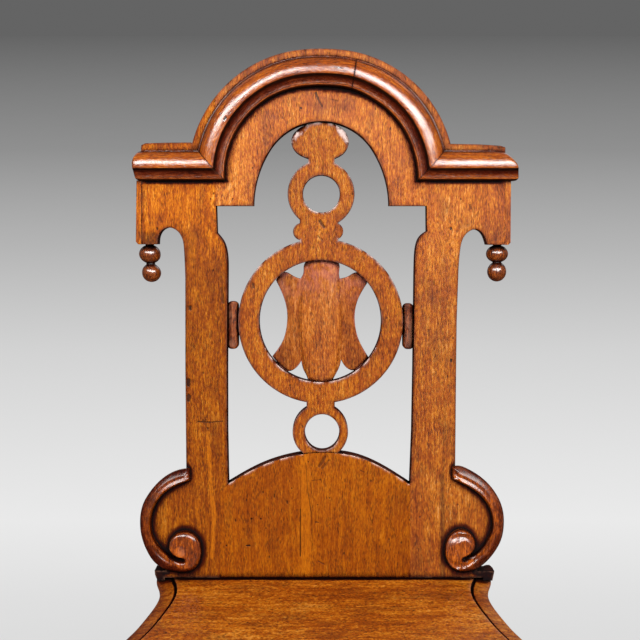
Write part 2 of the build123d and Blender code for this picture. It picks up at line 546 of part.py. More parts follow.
side_rail = slab(make_face(Polyline((side_x(-16), -16), (side_x(-16) + RAIL_T, -16), (side_x(-304) + RAIL_T, -304),
                                    (side_x(-304), -304), (side_x(-16), -16))), RAIL_Z0, UNDER)
side_rail += slab(make_face(Polyline((side_x(-4) + 5, -4), (side_x(-4) + 15, -4), (side_x(-318) + 15, -318),
                                     (side_x(-318) + 5, -318), (side_x(-4) + 5, -4))), RAIL_Z0 + 8, UNDER - 8)
front_profile = face_of(
    [(-146, UNDER), (-146, RAIL_Z0)],
    Spline((-146, RAIL_Z0), (-120, RAIL_Z0 + 1), (-92, RAIL_Z0 + 12), (-60, RAIL_Z0 + 26), (-26, RAIL_Z0 + 20),
           (0, RAIL_Z0 + 6), tangents=((1, 0), (1, -0.75))),
    Spline((0, RAIL_Z0 + 6), (26, RAIL_Z0 + 20), (60, RAIL_Z0 + 26), (92, RAIL_Z0 + 12), (120, RAIL_Z0 + 1),
           (146, RAIL_Z0), tangents=((1, 0.75), (1, 0))),
    [(146, RAIL_Z0), (146, UNDER), (-146, UNDER)],
)
front_rail = Plane.XZ.location * extrude(front_profile, amount=RAIL_T)
front_rail = Pos(0, -316.0 - front_rail.bounding_box().max.Y, 0) * front_rail
front_rail += box(-161, 161, -331, -321, RAIL_Z0 + 8, UNDER - 8)
rear_rail = box(-116, 116, -6, 14, RAIL_Z0, UNDER) + box(-130, 130, -1, 9, RAIL_Z0 + 8, UNDER - 8)

# ------------------------------------------------------------------ legs
def front_leg(x):
    block = Pos(x, FLEG_Y, (FLEG_BLOCK_Z + UNDER) / 2) * Box(FLEG_SQ, FLEG_SQ, UNDER - FLEG_BLOCK_Z)
    block = chamfer(block.edges().filter_by(Axis.Z), 2.0)
    lines = [
        Line((0, 353.0), (17.0, 353.0)),
        ThreePointArc((17.0, 353.0), (20.5, 347.5), (17.0, 342.0)),
        ThreePointArc((17.0, 342.0), (13.0, 338.0), (15.0, 333.0)),
        ThreePointArc((15.0, 333.0), (19.5, 328.0), (15.0, 323.0)),
        Spline((15.0, 323.0), (13.0, 314.0), (17.0, 296.0), (21.0, 272.0), (19.5, 240.0), (15.0, 190.0), (12.6, 140.0),
               (13.4, 118.0)),
        Line((13.4, 118.0), (16.0, 118.0)),
        ThreePointArc((16.0, 118.0), (20.0, 111.5), (16.0, 105.0)),
        ThreePointArc((16.0, 105.0), (11.5, 98.5), (14.0, 92.0)),
        ThreePointArc((14.0, 92.0), (18.0, 87.5), (14.0, 83.0)),
        Spline((14.0, 83.0), (14.6, 72.0), (19.6, 56.0), (19.0, 40.0), (13.0, 26.0)),
        ThreePointArc((13.0, 26.0), (17.0, 21.0), (15.5, 12.0)),
        Line((15.5, 12.0), (13.5, 0.0)),
        Line((13.5, 0.0), (0, 0)),
        Line((0, 0), (0, 353.0)),
    ]
    edges = []
    for l in lines:
        edges += l.edges()
    face = Plane.XZ.location * make_face(edges)
    turned = revolve(face, Axis.Z)
    return block + Pos(x, FLEG_Y, 0) * turned


def rear_leg(x0, x1):
    f = face_of(
        [(RLEG_Y0, UNDER), (RLEG_Y0, 356.0)],
        Spline((RLEG_Y0, 356.0), (-12.0, 300.0), (3.0, 200.0), (27.0, 100.0), (58.0, 0.0), tangents=((0, -1), (0.34, -1))),
        [(58.0, 0.0), (86.0, 0.0)],
        Spline((86.0, 0.0), (57.0, 96.0), (35.0, 200.0), (25.0, 300.0), (RLEG_Y1, 356.0), tangents=((-0.34, 1), (0, 1))),
        [(RLEG_Y1, 356.0), (RLEG_Y1, UNDER), (RLEG_Y0, UNDER)],
    )
    leg = Plane.YZ.location * extrude(f, amount=x1 - x0)
    leg = Pos(x0 - leg.bounding_box().min.X, 0, 0) * leg
    return leg


fl_r = front_leg(FLEG_X)
rl_r = rear_leg(RLEG_X0, RLEG_X1)

# corner blocks
cb_front = slab(make_face(Polyline((146, -316), (146, -304), (158, -304), (side_x(-244), -244), (96, -316), (146, -316))), 384.0, UNDER)
cb_rear = slab(make_face(Polyline((116, -6), (116, -16), (120, -16), (side_x(-66), -66), (66, -6), (116, -6))), 384.0, UNDER)


def screw(x, y, g=0.0):
    """Countersunk wood screw, head sunk in the block, point up; g widens it into its hole."""
    f = make_face(Polyline((0, 0, 400.0 - g), (4.2 + g, 0, 400.0 - g), (4.2 + g, 0, 400.0), (2.3 + g, 0, 403.5), (2.3 + g, 0, 434.0),
                           (0.4 + g, 0, 441.0 + g), (0, 0, 441.0 + g), (0, 0, 400.0 - g))) if g else make_face(
        Polyline((0, 0, 400.0), (4.2, 0, 400.0), (2.3, 0, 403.5), (2.3, 0, 434.0), (0.4, 0, 441.0), (0, 0, 441.0), (0, 0, 400.0)))
    return Pos(x, y, 0) * revolve(f, Axis.Z)


screw_spots = [(122.0, -300.0), (143.0, -272.0), (100.0, -19.0), (114.0, -38.0)]
screw_holes = [screw(x, y, HOLE_PLAY) for x, y in screw_spots]
head_bores = [Pos(x, y, 391.9) * Cylinder(4.6, 16.4) for x, y in screw_spots]
cb_front = cut_all(cb_front, screw_holes[:2] + head_bores[:2])
cb_rear = cut_all(cb_rear, screw_holes[2:] + head_bores[2:])
screws = [screw(x, y) for x, y in screw_spots] + [screw(-x, y) for x, y in screw_spots]
rear_board = cut_all(rear_board, screw_holes[2:] + [mirror(h, about=flip) for h in screw_holes[2:]])
front_board = cut_all(front_board, screw_holes[:2] + [mirror(h, about=flip) for h in screw_holes[:2]])

# pegs through the leg joints
pegs_r = ([((153, -348, z), (153, -319, z), 3.2) for z in (380.0, 410.0)]
          + [((190, -311, z), (161, -311, z), 3.2) for z in (388.0, 402.0)]
          + [((123, 24, z), (123, -3, z), 3.2) for z in (380.0, 410.0)]
          + [((148, -10, z), (121, -10, z), 3.2) for z in (388.0, 402.0)])
pegs_l = [((-p[0], p[1], p[2]), (-q[0], q[1], q[2]), r) for p, q, r in pegs_r]

fl_r = drill(fl_r - side_rail - front_rail, pegs_r[:4])
rl_r = drill(rl_r - side_rail - rear_rail, pegs_r[4:])
side_rail = drill(side_rail, pegs_r[2:4] + pegs_r[6:])
front_rail = drill(front_rail, pegs_r[:2] + pegs_l[:2])
rear_rail = drill(rear_rail, pegs_r[4:6] + pegs_l[4:6])

keep("seat_rear_board", rear_board)
keep("seat_front_board", front_board)
keep("seat_tongue", tongue)
keep("front_rail", front_rail)
keep("rear_rail", rear_rail)
keep("side_rail_right", side_rail)
keep("side_rail_left", mirror(side_rail, about=flip))
keep("front_leg_right", fl_r)
keep("front_leg_left", mirror(fl_r, about=flip))
keep("rear_leg_right", rl_r)
keep("rear_leg_left", mirror(rl_r, about=flip))
keep("corner_block_front_right", cb_front)
keep("corner_block_front_left", mirror(cb_front, about=flip))
keep("corner_block_rear_right", cb_rear)
keep("corner_block_rear_left", mirror(cb_rear, about=flip))
keep_group("seat_screws", screws)
keep_group("rail_pegs", bars(pegs_r + pegs_l))

# ------------------------------------------------------------------ write
for name, shape in parts.items():
    export_step(shape, f"parts/{name}.step")

whole = Compound(children=[s for s in parts.values()])
bb = whole.bounding_box()
print("pieces", len(parts), "box", bb.min, bb.max)
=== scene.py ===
import bpy
import bmesh
import math
import random
import numpy as np
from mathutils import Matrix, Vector, noise
from mathutils.geometry import delaunay_2d_cdt


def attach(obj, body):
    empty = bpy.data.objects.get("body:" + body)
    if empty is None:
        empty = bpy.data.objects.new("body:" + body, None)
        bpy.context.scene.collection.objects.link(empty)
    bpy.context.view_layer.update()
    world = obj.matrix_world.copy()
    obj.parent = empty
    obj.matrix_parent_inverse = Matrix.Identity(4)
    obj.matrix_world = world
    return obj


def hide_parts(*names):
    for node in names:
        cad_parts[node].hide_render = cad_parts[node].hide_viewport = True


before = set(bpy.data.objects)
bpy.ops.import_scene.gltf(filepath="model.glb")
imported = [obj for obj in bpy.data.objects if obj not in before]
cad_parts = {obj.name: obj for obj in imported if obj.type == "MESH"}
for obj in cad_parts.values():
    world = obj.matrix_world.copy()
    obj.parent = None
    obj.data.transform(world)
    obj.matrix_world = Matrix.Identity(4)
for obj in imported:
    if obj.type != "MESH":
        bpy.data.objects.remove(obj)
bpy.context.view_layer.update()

rnd = random.Random(7)

# ------------------------------------------------------------------ frames (millimetres in, metres out)
PHI = math.radians(7.88)
SN, CN = math.sin(PHI), math.cos(PHI)
YS, BX = 143.74, -2.4


def B(x, s, h):
    """The back's own plane: x, s up the board, h out of its face."""
    return ((x + BX) * 0.001, (YS + s * SN - h * CN) * 0.001, (450.0 + s * CN + h * SN) * 0.001)


def W(x, y, z):
    return (x * 0.001, (y + YS) * 0.001, z * 0.001)


# ------------------------------------------------------------------ plane curves
def spline(pts, step=2.0, t0=None, t1=None, count=None):
    """Cubic spline through the points, free or clamped ends."""
    p = np.array(pts, float)
    seg = np.hypot(p[1:, 0] - p[:-1, 0], p[1:, 1] - p[:-1, 1])
    t = np.r_[0.0, np.cumsum(seg)]
    n = len(p)
    a = np.zeros((n, n))
    b = np.zeros((n, 2))
    for i in range(1, n - 1):
        h0, h1 = seg[i - 1], seg[i]
        a[i, i - 1], a[i, i], a[i, i + 1] = h0, 2 * (h0 + h1), h1
        b[i] = 6 * ((p[i + 1] - p[i]) / h1 - (p[i] - p[i - 1]) / h0)
    if t0 is None:
        a[0, 0] = 1
    else:
        d = np.array(t0, float) / np.hypot(*t0)
        a[0, 0], a[0, 1] = 2 * seg[0], seg[0]
        b[0] = 6 * ((p[1] - p[0]) / seg[0] - d)
    if t1 is None:
        a[-1, -1] = 1
    else:
        d = np.array(t1, float) / np.hypot(*t1)
        a[-1, -1], a[-1, -2] = 2 * seg[-1], seg[-1]
        b[-1] = 6 * (d - (p[-1] - p[-2]) / seg[-1])
    m = np.linalg.solve(a, b)
    total = t[-1]
    k = count or max(2, int(math.ceil(total / step)))
    out = []
    for u in np.linspace(0, total, k + 1):
        i = min(n - 2, max(0, int(np.searchsorted(t, u) - 1)))
        h = seg[i]
        x0, x1 = (t[i + 1] - u), (u - t[i])
        q = (m[i] * x0 ** 3 + m[i + 1] * x1 ** 3) / (6 * h) + (p[i] / h - m[i] * h / 6) * x0 + (p[i + 1] / h - m[i + 1] * h / 6) * x1
        out.append((float(q[0]), float(q[1])))
    return out


def pol(c, r, a):
    return (c[0] + r * math.cos(math.radians(a)), c[1] + r * math.sin(math.radians(a)))


def arc(c, r, a0, a1, step=2.0):
    k = max(3, int(math.ceil(abs(math.radians(a1 - a0)) * r / step)))
    return [pol(c, r, a0 + (a1 - a0) * i / k) for i in range(k + 1)]


def circle(c, r, k=96):
    return [pol(c, r, 360.0 * i / k) for i in range(k)]


def line(*pts, step=5.0):
    out = [pts[0]]
    for p, q in zip(pts, pts[1:]):
        k = max(1, int(math.ceil(math.hypot(q[0] - p[0], q[1] - p[1]) / step)))
        out += [(p[0] + (q[0] - p[0]) * i / k, p[1] + (q[1] - p[1]) * i / k) for i in range(1, k + 1)]
    return out


def chain(*parts):
    """One closed loop out of pieces laid end to end."""
    out = []
    for part in parts:
        for q in part:
            if not out or math.hypot(q[0] - out[-1][0], q[1] - out[-1][1]) > 0.02:
                out.append((float(q[0]), float(q[1])))
    if math.hypot(out[0][0] - out[-1][0], out[0][1] - out[-1][1]) < 0.02:
        out.pop()
    return out


def area(lp):
    return 0.5 * sum(p[0] * q[1] - q[0] * p[1] for p, q in zip(lp, lp[1:] + lp[:1]))


def mitres(lp):
    """Inward unit offsets at each corner (interior on the left)."""
    n = len(lp)
    out = []
    for i in range(n):
        p, c, q = lp[i - 1], lp[i], lp[(i + 1) % n]
        a = (c[0] - p[0], c[1] - p[1])
        b = (q[0] - c[0], q[1] - c[1])
        la, lb = math.hypot(*a) or 1, math.hypot(*b) or 1
        n1, n2 = (-a[1] / la, a[0] / la), (-b[1] / lb, b[0] / lb)
        d = 1 + n1[0] * n2[0] + n1[1] * n2[1]
        k = 1 / max(d, 0.32)
        out.append(((n1[0] + n2[0]) * k, (n1[1] + n2[1]) * k))
    return out


def inside(pts, loops):
    """Even-odd test of many points against closed loops."""
    pts = np.asarray(pts, float)
    hit = np.zeros(len(pts), bool)
    for lp in loops:
        a = np.array(lp, float)
        b = np.roll(a, -1, 0)
        for (x0, y0), (x1, y1) in zip(a, b):
            if y0 == y1:
                continue
            m = ((y0 > pts[:, 1]) != (y1 > pts[:, 1]))
            xs = x0 + (pts[:, 1] - y0) * (x1 - x0) / (y1 - y0)
            hit ^= m & (pts[:, 0] < xs)
    return hit


def reach(pts, loops):
    """Distance from each point to the nearest edge of the loops."""
    pts = np.asarray(pts, float)
    best = np.full(len(pts), 1e9)
    for lp in loops:
        a = np.array(lp, float)
        b = np.roll(a, -1, 0)
        for p, q in zip(a, b):
            d = q - p
            t = np.clip(((pts - p) @ d) / max(d @ d, 1e-9), 0, 1)
            c = p + t[:, None] * d
            best = np.minimum(best, np.hypot(pts[:, 0] - c[:, 0], pts[:, 1] - c[:, 1]))
    return best


# ------------------------------------------------------------------ mesh making
def finish_mesh(name, verts, faces, grain, wear_and_sheen, place, gfun, sharp=0.62, ride=True):
    """verts are local millimetres; place gives metres, gfun the wood's own coordinates in millimetres."""
    bm = bmesh.new()
    # per vertex: how worn and pale, with painted highlights on some pieces, and how darkened, by old wax, grime and
    # painted shade
    lw = bm.verts.layers.float.new("wear_and_sheen")
    ld = bm.verts.layers.float.new("dirt_and_shade")
    lg = bm.verts.layers.float_vector.new("grain")
    made = []
    for (u, v, w), we in zip(verts, wear_and_sheen):
        b = bm.verts.new(place(u, v, w))
        b[lw], b[ld] = we if isinstance(we, tuple) else (we, 0.0)
        b[lg] = gfun(u, v, w)
        made.append(b)
    for f in faces:
        try:
            bm.faces.new([made[i] for i in f])
        except ValueError:
            pass
    bmesh.ops.remove_doubles(bm, verts=bm.verts, dist=2e-6)
    bmesh.ops.dissolve_degenerate(bm, edges=bm.edges, dist=1e-6)
    return settle(name, bm, sharp)


def settle(name, bm, sharp=0.62):
    loose = [v for v in bm.verts if not v.link_faces]
    bmesh.ops.delete(bm, geom=loose, context="VERTS")
    bmesh.ops.recalc_face_normals(bm, faces=bm.faces)
    for f in bm.faces:
        f.smooth = True
    for e in bm.edges:
        if len(e.link_faces) == 2 and e.calc_face_angle(0) > sharp:
            e.smooth = False
    me = bpy.data.meshes.new(name)
    bm.to_mesh(me)
    bm.free()
    ob = bpy.data.objects.new(name, me)
    bpy.context.scene.collection.objects.link(ob)
    return ob


def fill(rings, extra, spacing, seed=0):
    """Triangles inside the loops, over a jittered grid. Returns points, triangles, and how many of the points are the loops' own."""
    own = [q for lp in rings for q in lp]
    edges, at = [], 0
    for lp in rings:
        n = len(lp)
        edges += [(at + i, at + (i + 1) % n) for i in range(n)]
        at += n
    xs, ys = [q[0] for q in own], [q[1] for q in own]
    r = random.Random(seed)
    grid = []
    y = min(ys) + spacing * 0.5
    row = 0
    while y < max(ys):
        x = min(xs) + spacing * (0.5 if row % 2 else 0.0)
        while x < max(xs):
            grid.append((x + r.uniform(-0.12, 0.12) * spacing, y + r.uniform(-0.12, 0.12) * spacing))
            x += spacing
        y += spacing * 0.87
        row += 1
    grid = np.array(grid + list(extra)) if (grid or extra) else np.zeros((0, 2))
    if len(grid):
        ok = inside(grid, rings)
        grid = grid[ok]
        if len(grid):
            grid = grid[reach(grid, rings) > spacing * 0.42]
    pts = own + [tuple(map(float, q)) for q in grid]
    res = delaunay_2d_cdt([Vector(q) for q in pts], edges, [], 0, 1e-5)
    vs = [(v.x, v.y) for v in res[0]]
    back = {}
    for i, src in enumerate(res[3]):
        for j in src:
            back[j] = i
    tri = np.array([list(f)[:3] for f in res[2]])
    cen = np.array(vs)[tri].mean(1)
    tri = tri[inside(cen, rings)]
    return vs, tri.tolist(), [back[i] for i in range(len(own))]


def slab(name, loops, w0, w1, place, gfun, r=0.9, rb=0.9, g=6.0, wav=0.12, rfun=None, seed=0, edge=0.34, wall=0.6, arris=0.3, wear_and_light_fun=None,
         dirt_shade_fun=None, scroll_shade_halo=None):
    """A board: outline and holes extruded from w0 to w1 with rounded arrises and a hand-planed face.
    edge and wall are the darkening on the arris and the sides; arris sets how worn and pale the arris is, which on the
    splat and the lower boards is a painted highlight.
    rfun scales the rounding, and where it's under a half the edge is a glued joint, left plain. halo = (loops, full,
    none): painted shadow and old grime round the scrolls."""
    loops = [list(lp) for lp in loops]
    for i, lp in enumerate(loops):
        if (area(lp) > 0) != (i == 0):
            lp.reverse()
    ms = [mitres(lp) for lp in loops]
    verts, wear_and_sheen, faces = [], [], []
    K = 4

    def ring(li, inset, w, we, scale=None):
        base = len(verts)
        for j, ((x, y), (mx, my)) in enumerate(zip(loops[li], ms[li])):
            k = scale[j] if scale else 1.0
            verts.append((x + mx * inset * k, y + my * inset * k, w if not scale else w1 - (w1 - w) * k))
            wear_and_sheen.append(we if k > 0.5 else (0.0, 0.0))
        return base

    def bridge(a, b, n, turn):
        for i in range(n):
            j = (i + 1) % n
            faces.append((a + i, a + j, b + j, b + i) if turn else (a + i, b + i, b + j, a + j))

    fronts, backs = [], []
    for li, lp in enumerate(loops):
        n = len(lp)
        sc = [rfun(*q) for q in lp] if rfun else None
        last = None
        for k in range(K + 1):
            th = math.pi / 2 * k / K
            b = ring(li, r * (1 - math.cos(th)), w1 - r * (1 - math.sin(th)),
                     ((0.2, 0.85, 1.0, 0.9, 0.5)[k] * arris, (wall, wall * 0.9, (wall + edge) / 2, edge, edge)[k]), sc)
            if k == 0:
                first = b
            if last is not None:
                bridge(last, b, n, True)
            last = b
        for ins, we in ((0.5, (0.2 * arris, edge * 0.75)), (1.8, (0.0, edge * 0.3))):
            base = len(verts)
            for j, ((x, y), (mx, my)) in enumerate(zip(lp, ms[li])):
                k = r * (sc[j] if sc else 1.0) + ins
                verts.append((x + mx * k, y + my * k, w1))
                wear_and_sheen.append(we if not sc or sc[j] > 0.5 else (0.0, 0.0))
            bridge(last, base, n, True)
            last = base
        fronts.append((last, n))
        prev = first
        sc0 = sc
        span = (w1 - r) - (w0 + rb)
        nk = max(1, int(span / 6.0))
        for k in range(1, nk + 1):
            base = len(verts)
            for j, (x, y) in enumerate(lp):
                top = w1 - r * (sc0[j] if sc0 else 1.0)
                verts.append((x, y, top + (w0 + rb - top) * k / nk))
                wear_and_sheen.append((0.0, wall))
            bridge(base, prev, n, True)
            prev = base
        for k in range(1, K + 1):
            th = math.pi / 2 * k / K
            base = len(verts)
            for (x, y), (mx, my) in zip(lp, ms[li]):
                i = rb * (1 - math.cos(th))
                verts.append((x + mx * i, y + my * i, w0 + rb * (1 - math.sin(th))))
                wear_and_sheen.append(((0.35, 0.85, 1.0, 0.9, 0.4)[k] * arris, wall * (1 - 0.2 * k)))
            bridge(base, prev, n, True)
            prev = base
        base = len(verts)
        for (x, y), (mx, my) in zip(lp, ms[li]):
            verts.append((x + mx * (rb + 1.4), y + my * (rb + 1.4), w0))
            wear_and_sheen.append(0.0)
        bridge(base, prev, n, True)
        backs.append((base, n))
    for which, side in ((fronts, 1), (backs, 0)):
        rings = [[verts[b + i][:2] for i in range(n)] for b, n in which]
        ids = [b + i for b, n in which for i in range(n)]
        vs, tri, own = fill(rings, [], g, seed + side)
        link = {o: ids[k] for k, o in enumerate(own)}
        fresh = [i for i in range(len(vs)) if i not in link]
        if fresh:
            d = reach([vs[i] for i in fresh], rings)
        for k, i in enumerate(fresh):
            x, y = vs[i]
            w = w1 if side else w0
            q = noise.noise(Vector((x / 23.0 + seed, y / 41.0, side * 5.0 + seed)))
            q += 0.5 * noise.noise(Vector((x / 9.0 + seed, y / 27.0, side * 3.0 + seed)))
            w += (1 if side else -1) * wav * q * min(1.0, d[k] / 5.0)
            link[i] = len(verts)
            verts.append((x, y, w))
            wear_and_sheen.append(0.0)
        faces += [tuple(link[i] for i in (f if side else f[::-1])) for f in tri]
    wear_and_sheen = [we if isinstance(we, tuple) else (we, 0.0) for we in wear_and_sheen]
    if wear_and_light_fun:
        wear_and_sheen = [(min(1.0, we * wear_and_light_fun(*v)), di) for (we, di), v in zip(wear_and_sheen, verts)]
    # painted shadow and old grime round the scrolls: fading out from their outline, narrower near their tops and wider
    # beside the eyes
    if scroll_shade_halo:
        hl, full, none = scroll_shade_halo
        d = reach([v[:2] for v in verts], hl)
        own_in = inside([v[:2] for v in verts], hl)
        nn = [none - 3.6 * min(1.0, max(0.0, (v[1] - 84.0) / 8.0)) + (2.0 if math.hypot(abs(v[0]) - 128.5, v[1] - 26.0) < 31.0 and abs(v[0]) < 139.0 else 0.0)
              for v in verts]
        wear_and_sheen = [(we, max(di, 1.0 if h_in else min(1.0, max(0.0, (no - q) / (no - full)) ** 1.4)) if v[2] > w1 - 1.2 else di)
                for (we, di), v, q, h_in, no in zip(wear_and_sheen, verts, d, own_in, nn)]
    if dirt_shade_fun:
        wear_and_sheen = [(we, max(di, dirt_shade_fun(*v) if v[2] > w0 + 0.5 else 0.0)) for (we, di), v in zip(wear_and_sheen, verts)]
    return finish_mesh(name, verts, faces, None, wear_and_sheen, place, gfun)


def relief(name, loops, w0, wfun, place, gfun, insets=(0.3, 0.8, 1.5, 2.4), g=1.8, seed=0, wear_and_light_fun=None):
    """A carved piece: flat back at w0, front height from wfun(x, y, distance to the edge)."""
    loops = [list(lp) for lp in loops]
    for i, lp in enumerate(loops):
        if (area(lp) > 0) != (i == 0):
            lp.reverse()
    verts, wear_and_sheen, faces = [], [], []
    tops, bots = [], []
    for lp in loops:
        ms = mitres(lp)
        n = len(lp)
        bot = len(verts)
        verts += [(x, y, w0) for x, y in lp]
        wear_and_sheen += [0.0] * n
        bots.append((bot, n))
        prev = bot
        for k in range(1, 4):
            base = len(verts)
            for x, y in lp:
                verts.append((x, y, w0 + (wfun(x, y, 0.0) - w0) * k / 3))
                wear_and_sheen.append(0.0)
            for i in range(n):
                j = (i + 1) % n
                faces.append((prev + i, prev + j, base + j, base + i))
            prev = base
        for ins in insets:
            base = len(verts)
            pts = [(x + mx * ins, y + my * ins) for (x, y), (mx, my) in zip(lp, ms)]
            d = reach(pts, loops)
            for (x, y), dd in zip(pts, d):
                verts.append((x, y, wfun(x, y, min(dd, ins))))
                wear_and_sheen.append(wear_and_light_fun(x, y, dd) if wear_and_light_fun else 0.0)
            for i in range(n):
                j = (i + 1) % n
                faces.append((prev + i, prev + j, base + j, base + i))
            prev = base
        tops.append((prev, n))
    for which, side in ((tops, 1), (bots, 0)):
        rings = [[verts[b + i][:2] for i in range(n)] for b, n in which]
        ids = [b + i for b, n in which for i in range(n)]
        vs, tri, own = fill(rings, [], g if side else 8.0, seed + side)
        link = {o: ids[k] for k, o in enumerate(own)}
        fresh = [i for i in range(len(vs)) if i not in link]
        d = reach([vs[i] for i in fresh], loops) if fresh else []
        for k, i in enumerate(fresh):
            x, y = vs[i]
            link[i] = len(verts)
            verts.append((x, y, wfun(x, y, d[k]) if side else w0))
            wear_and_sheen.append(wear_and_light_fun(x, y, d[k]) if (wear_and_light_fun and side) else 0.0)
        faces += [tuple(link[i] for i in (f if side else f[::-1])) for f in tri]
    return finish_mesh(name, verts, faces, None, wear_and_sheen, place, gfun, sharp=0.8)


def sweep(name, count, section, at, place, gfun, wear_and_shade_list, sharp=0.62, pairs=0, seam=None):
    """section points carried along stations: at(i, d, h) -> local (u, v, w). Closed ends: with pairs the
    last points lie under the first ones and the ends are strips between them."""
    n = len(section)
    verts, wear_and_sheen, faces = [], [], []
    for i in range(count):
        for j, (d, h) in enumerate(section):
            verts.append(at(i, d, h))
            we, di = wear_and_shade_list[j]
            near = seam.get(i, (0.0, 0.0)) if seam else (0.0, 0.0)
            wear_and_sheen.append((max(we, near[0]), max(di, near[1])))
    for i in range(count - 1):
        for j in range(n):
            k = (j + 1) % n
            faces.append((i * n + j, i * n + k, (i + 1) * n + k, (i + 1) * n + j))
    if pairs:
        for base in (0, (count - 1) * n):
            under = [0] + list(range(n - 1, pairs - 1, -1))
            for j in range(pairs - 1):
                q = (base + j, base + j + 1, base + under[j + 1], base + under[j])
                q = tuple(dict.fromkeys(q))
                faces.append(q if base == 0 else q[::-1])
        return verts, faces, wear_and_sheen
    faces.append(tuple(range(n)))
    faces.append(tuple(reversed(range((count - 1) * n, count * n))))
    return verts, faces, wear_and_sheen


def turned(profile, segs=56):
    """Lathe: profile [(radius, height, wear)] from bottom to top, closed on the axis."""
    verts, wear_and_sheen, faces = [], [], []
    rings = []
    for r, z, we in profile:
        base = len(verts)
        if r < 1e-6:
            verts.append((0.0, 0.0, z))
            wear_and_sheen.append(we)
            rings.append((base, 1))
        else:
            for k in range(segs):
                a = 2 * math.pi * k / segs
                verts.append((r * math.cos(a), r * math.sin(a), z))
                wear_and_sheen.append(we)
            rings.append((base, segs))
    for (a, na), (b, nb) in zip(rings, rings[1:]):
        for k in range(segs):
            m = (k + 1) % segs
            if na == 1 and nb == 1:
                continue
            if na == 1:
                faces.append((a, b + m, b + k))
            elif nb == 1:
                faces.append((a + k, a + m, b))
            else:
                faces.append((a + k, a + m, b + m, b + k))
    return verts, faces, wear_and_sheen


# ------------------------------------------------------------------ materials
class Net:
    def __init__(self, name):
        self.mat = bpy.data.materials.new(name)
        self.mat.use_nodes = True
        self.t = self.mat.node_tree
        self.t.nodes.clear()

    def n(self, kind, ins=None, **kw):
        node = self.t.nodes.new(kind)
        for k, v in kw.items():
            setattr(node, k, v)
        for k, v in (ins or {}).items():
            self.put(node.inputs[k], v)
        return node

    def put(self, sock, v):
        if isinstance(v, bpy.types.NodeSocket):
            self.t.links.new(v, sock)
        else:
            sock.default_value = v

    def m(self, op, a, b=0.0, c=0.0, clamp=False):
        node = self.n("ShaderNodeMath", {0: a, 1: b, 2: c}, operation=op, use_clamp=clamp)
        return node.outputs[0]

    def rng(self, v, a, b, c=0.0, d=1.0, smooth=True):
        node = self.n("ShaderNodeMapRange", {"Value": v, "From Min": a, "From Max": b, "To Min": c, "To Max": d},
                      interpolation_type="SMOOTHSTEP" if smooth else "LINEAR")
        return node.outputs["Result"]

    def mix(self, f, a, b, blend="MIX"):
        node = self.n("ShaderNodeMix", {0: f, 6: a, 7: b}, data_type="RGBA", blend_type=blend)
        return node.outputs[2]

    def noise(self, vec, scale, detail=3.0, rough=0.55, at=(0, 0, 0), dist=0.0):
        mp = self.n("ShaderNodeMapping", {"Vector": vec, "Scale": scale, "Location": at})
        nz = self.n("ShaderNodeTexNoise", {"Vector": mp.outputs[0], "Scale": 1.0, "Detail": detail, "Roughness": rough, "Distortion": dist})
        return nz.outputs["Fac"]

    def cells(self, vec, scale, at=(0, 0, 0)):
        mp = self.n("ShaderNodeMapping", {"Vector": vec, "Scale": scale, "Location": at})
        vo = self.n("ShaderNodeTexVoronoi", {"Vector": mp.outputs[0], "Scale": 1.0, "Randomness": 1.0})
        return vo.outputs["Distance"]


def c4(r, g, b):
    """sRGB 0-255 to a linear colour."""
    f = lambda v: ((v / 255 + 0.055) / 1.055) ** 2.4 if v > 10 else v / 255 / 12.92
    return (f(r), f(g), f(b), 1.0)


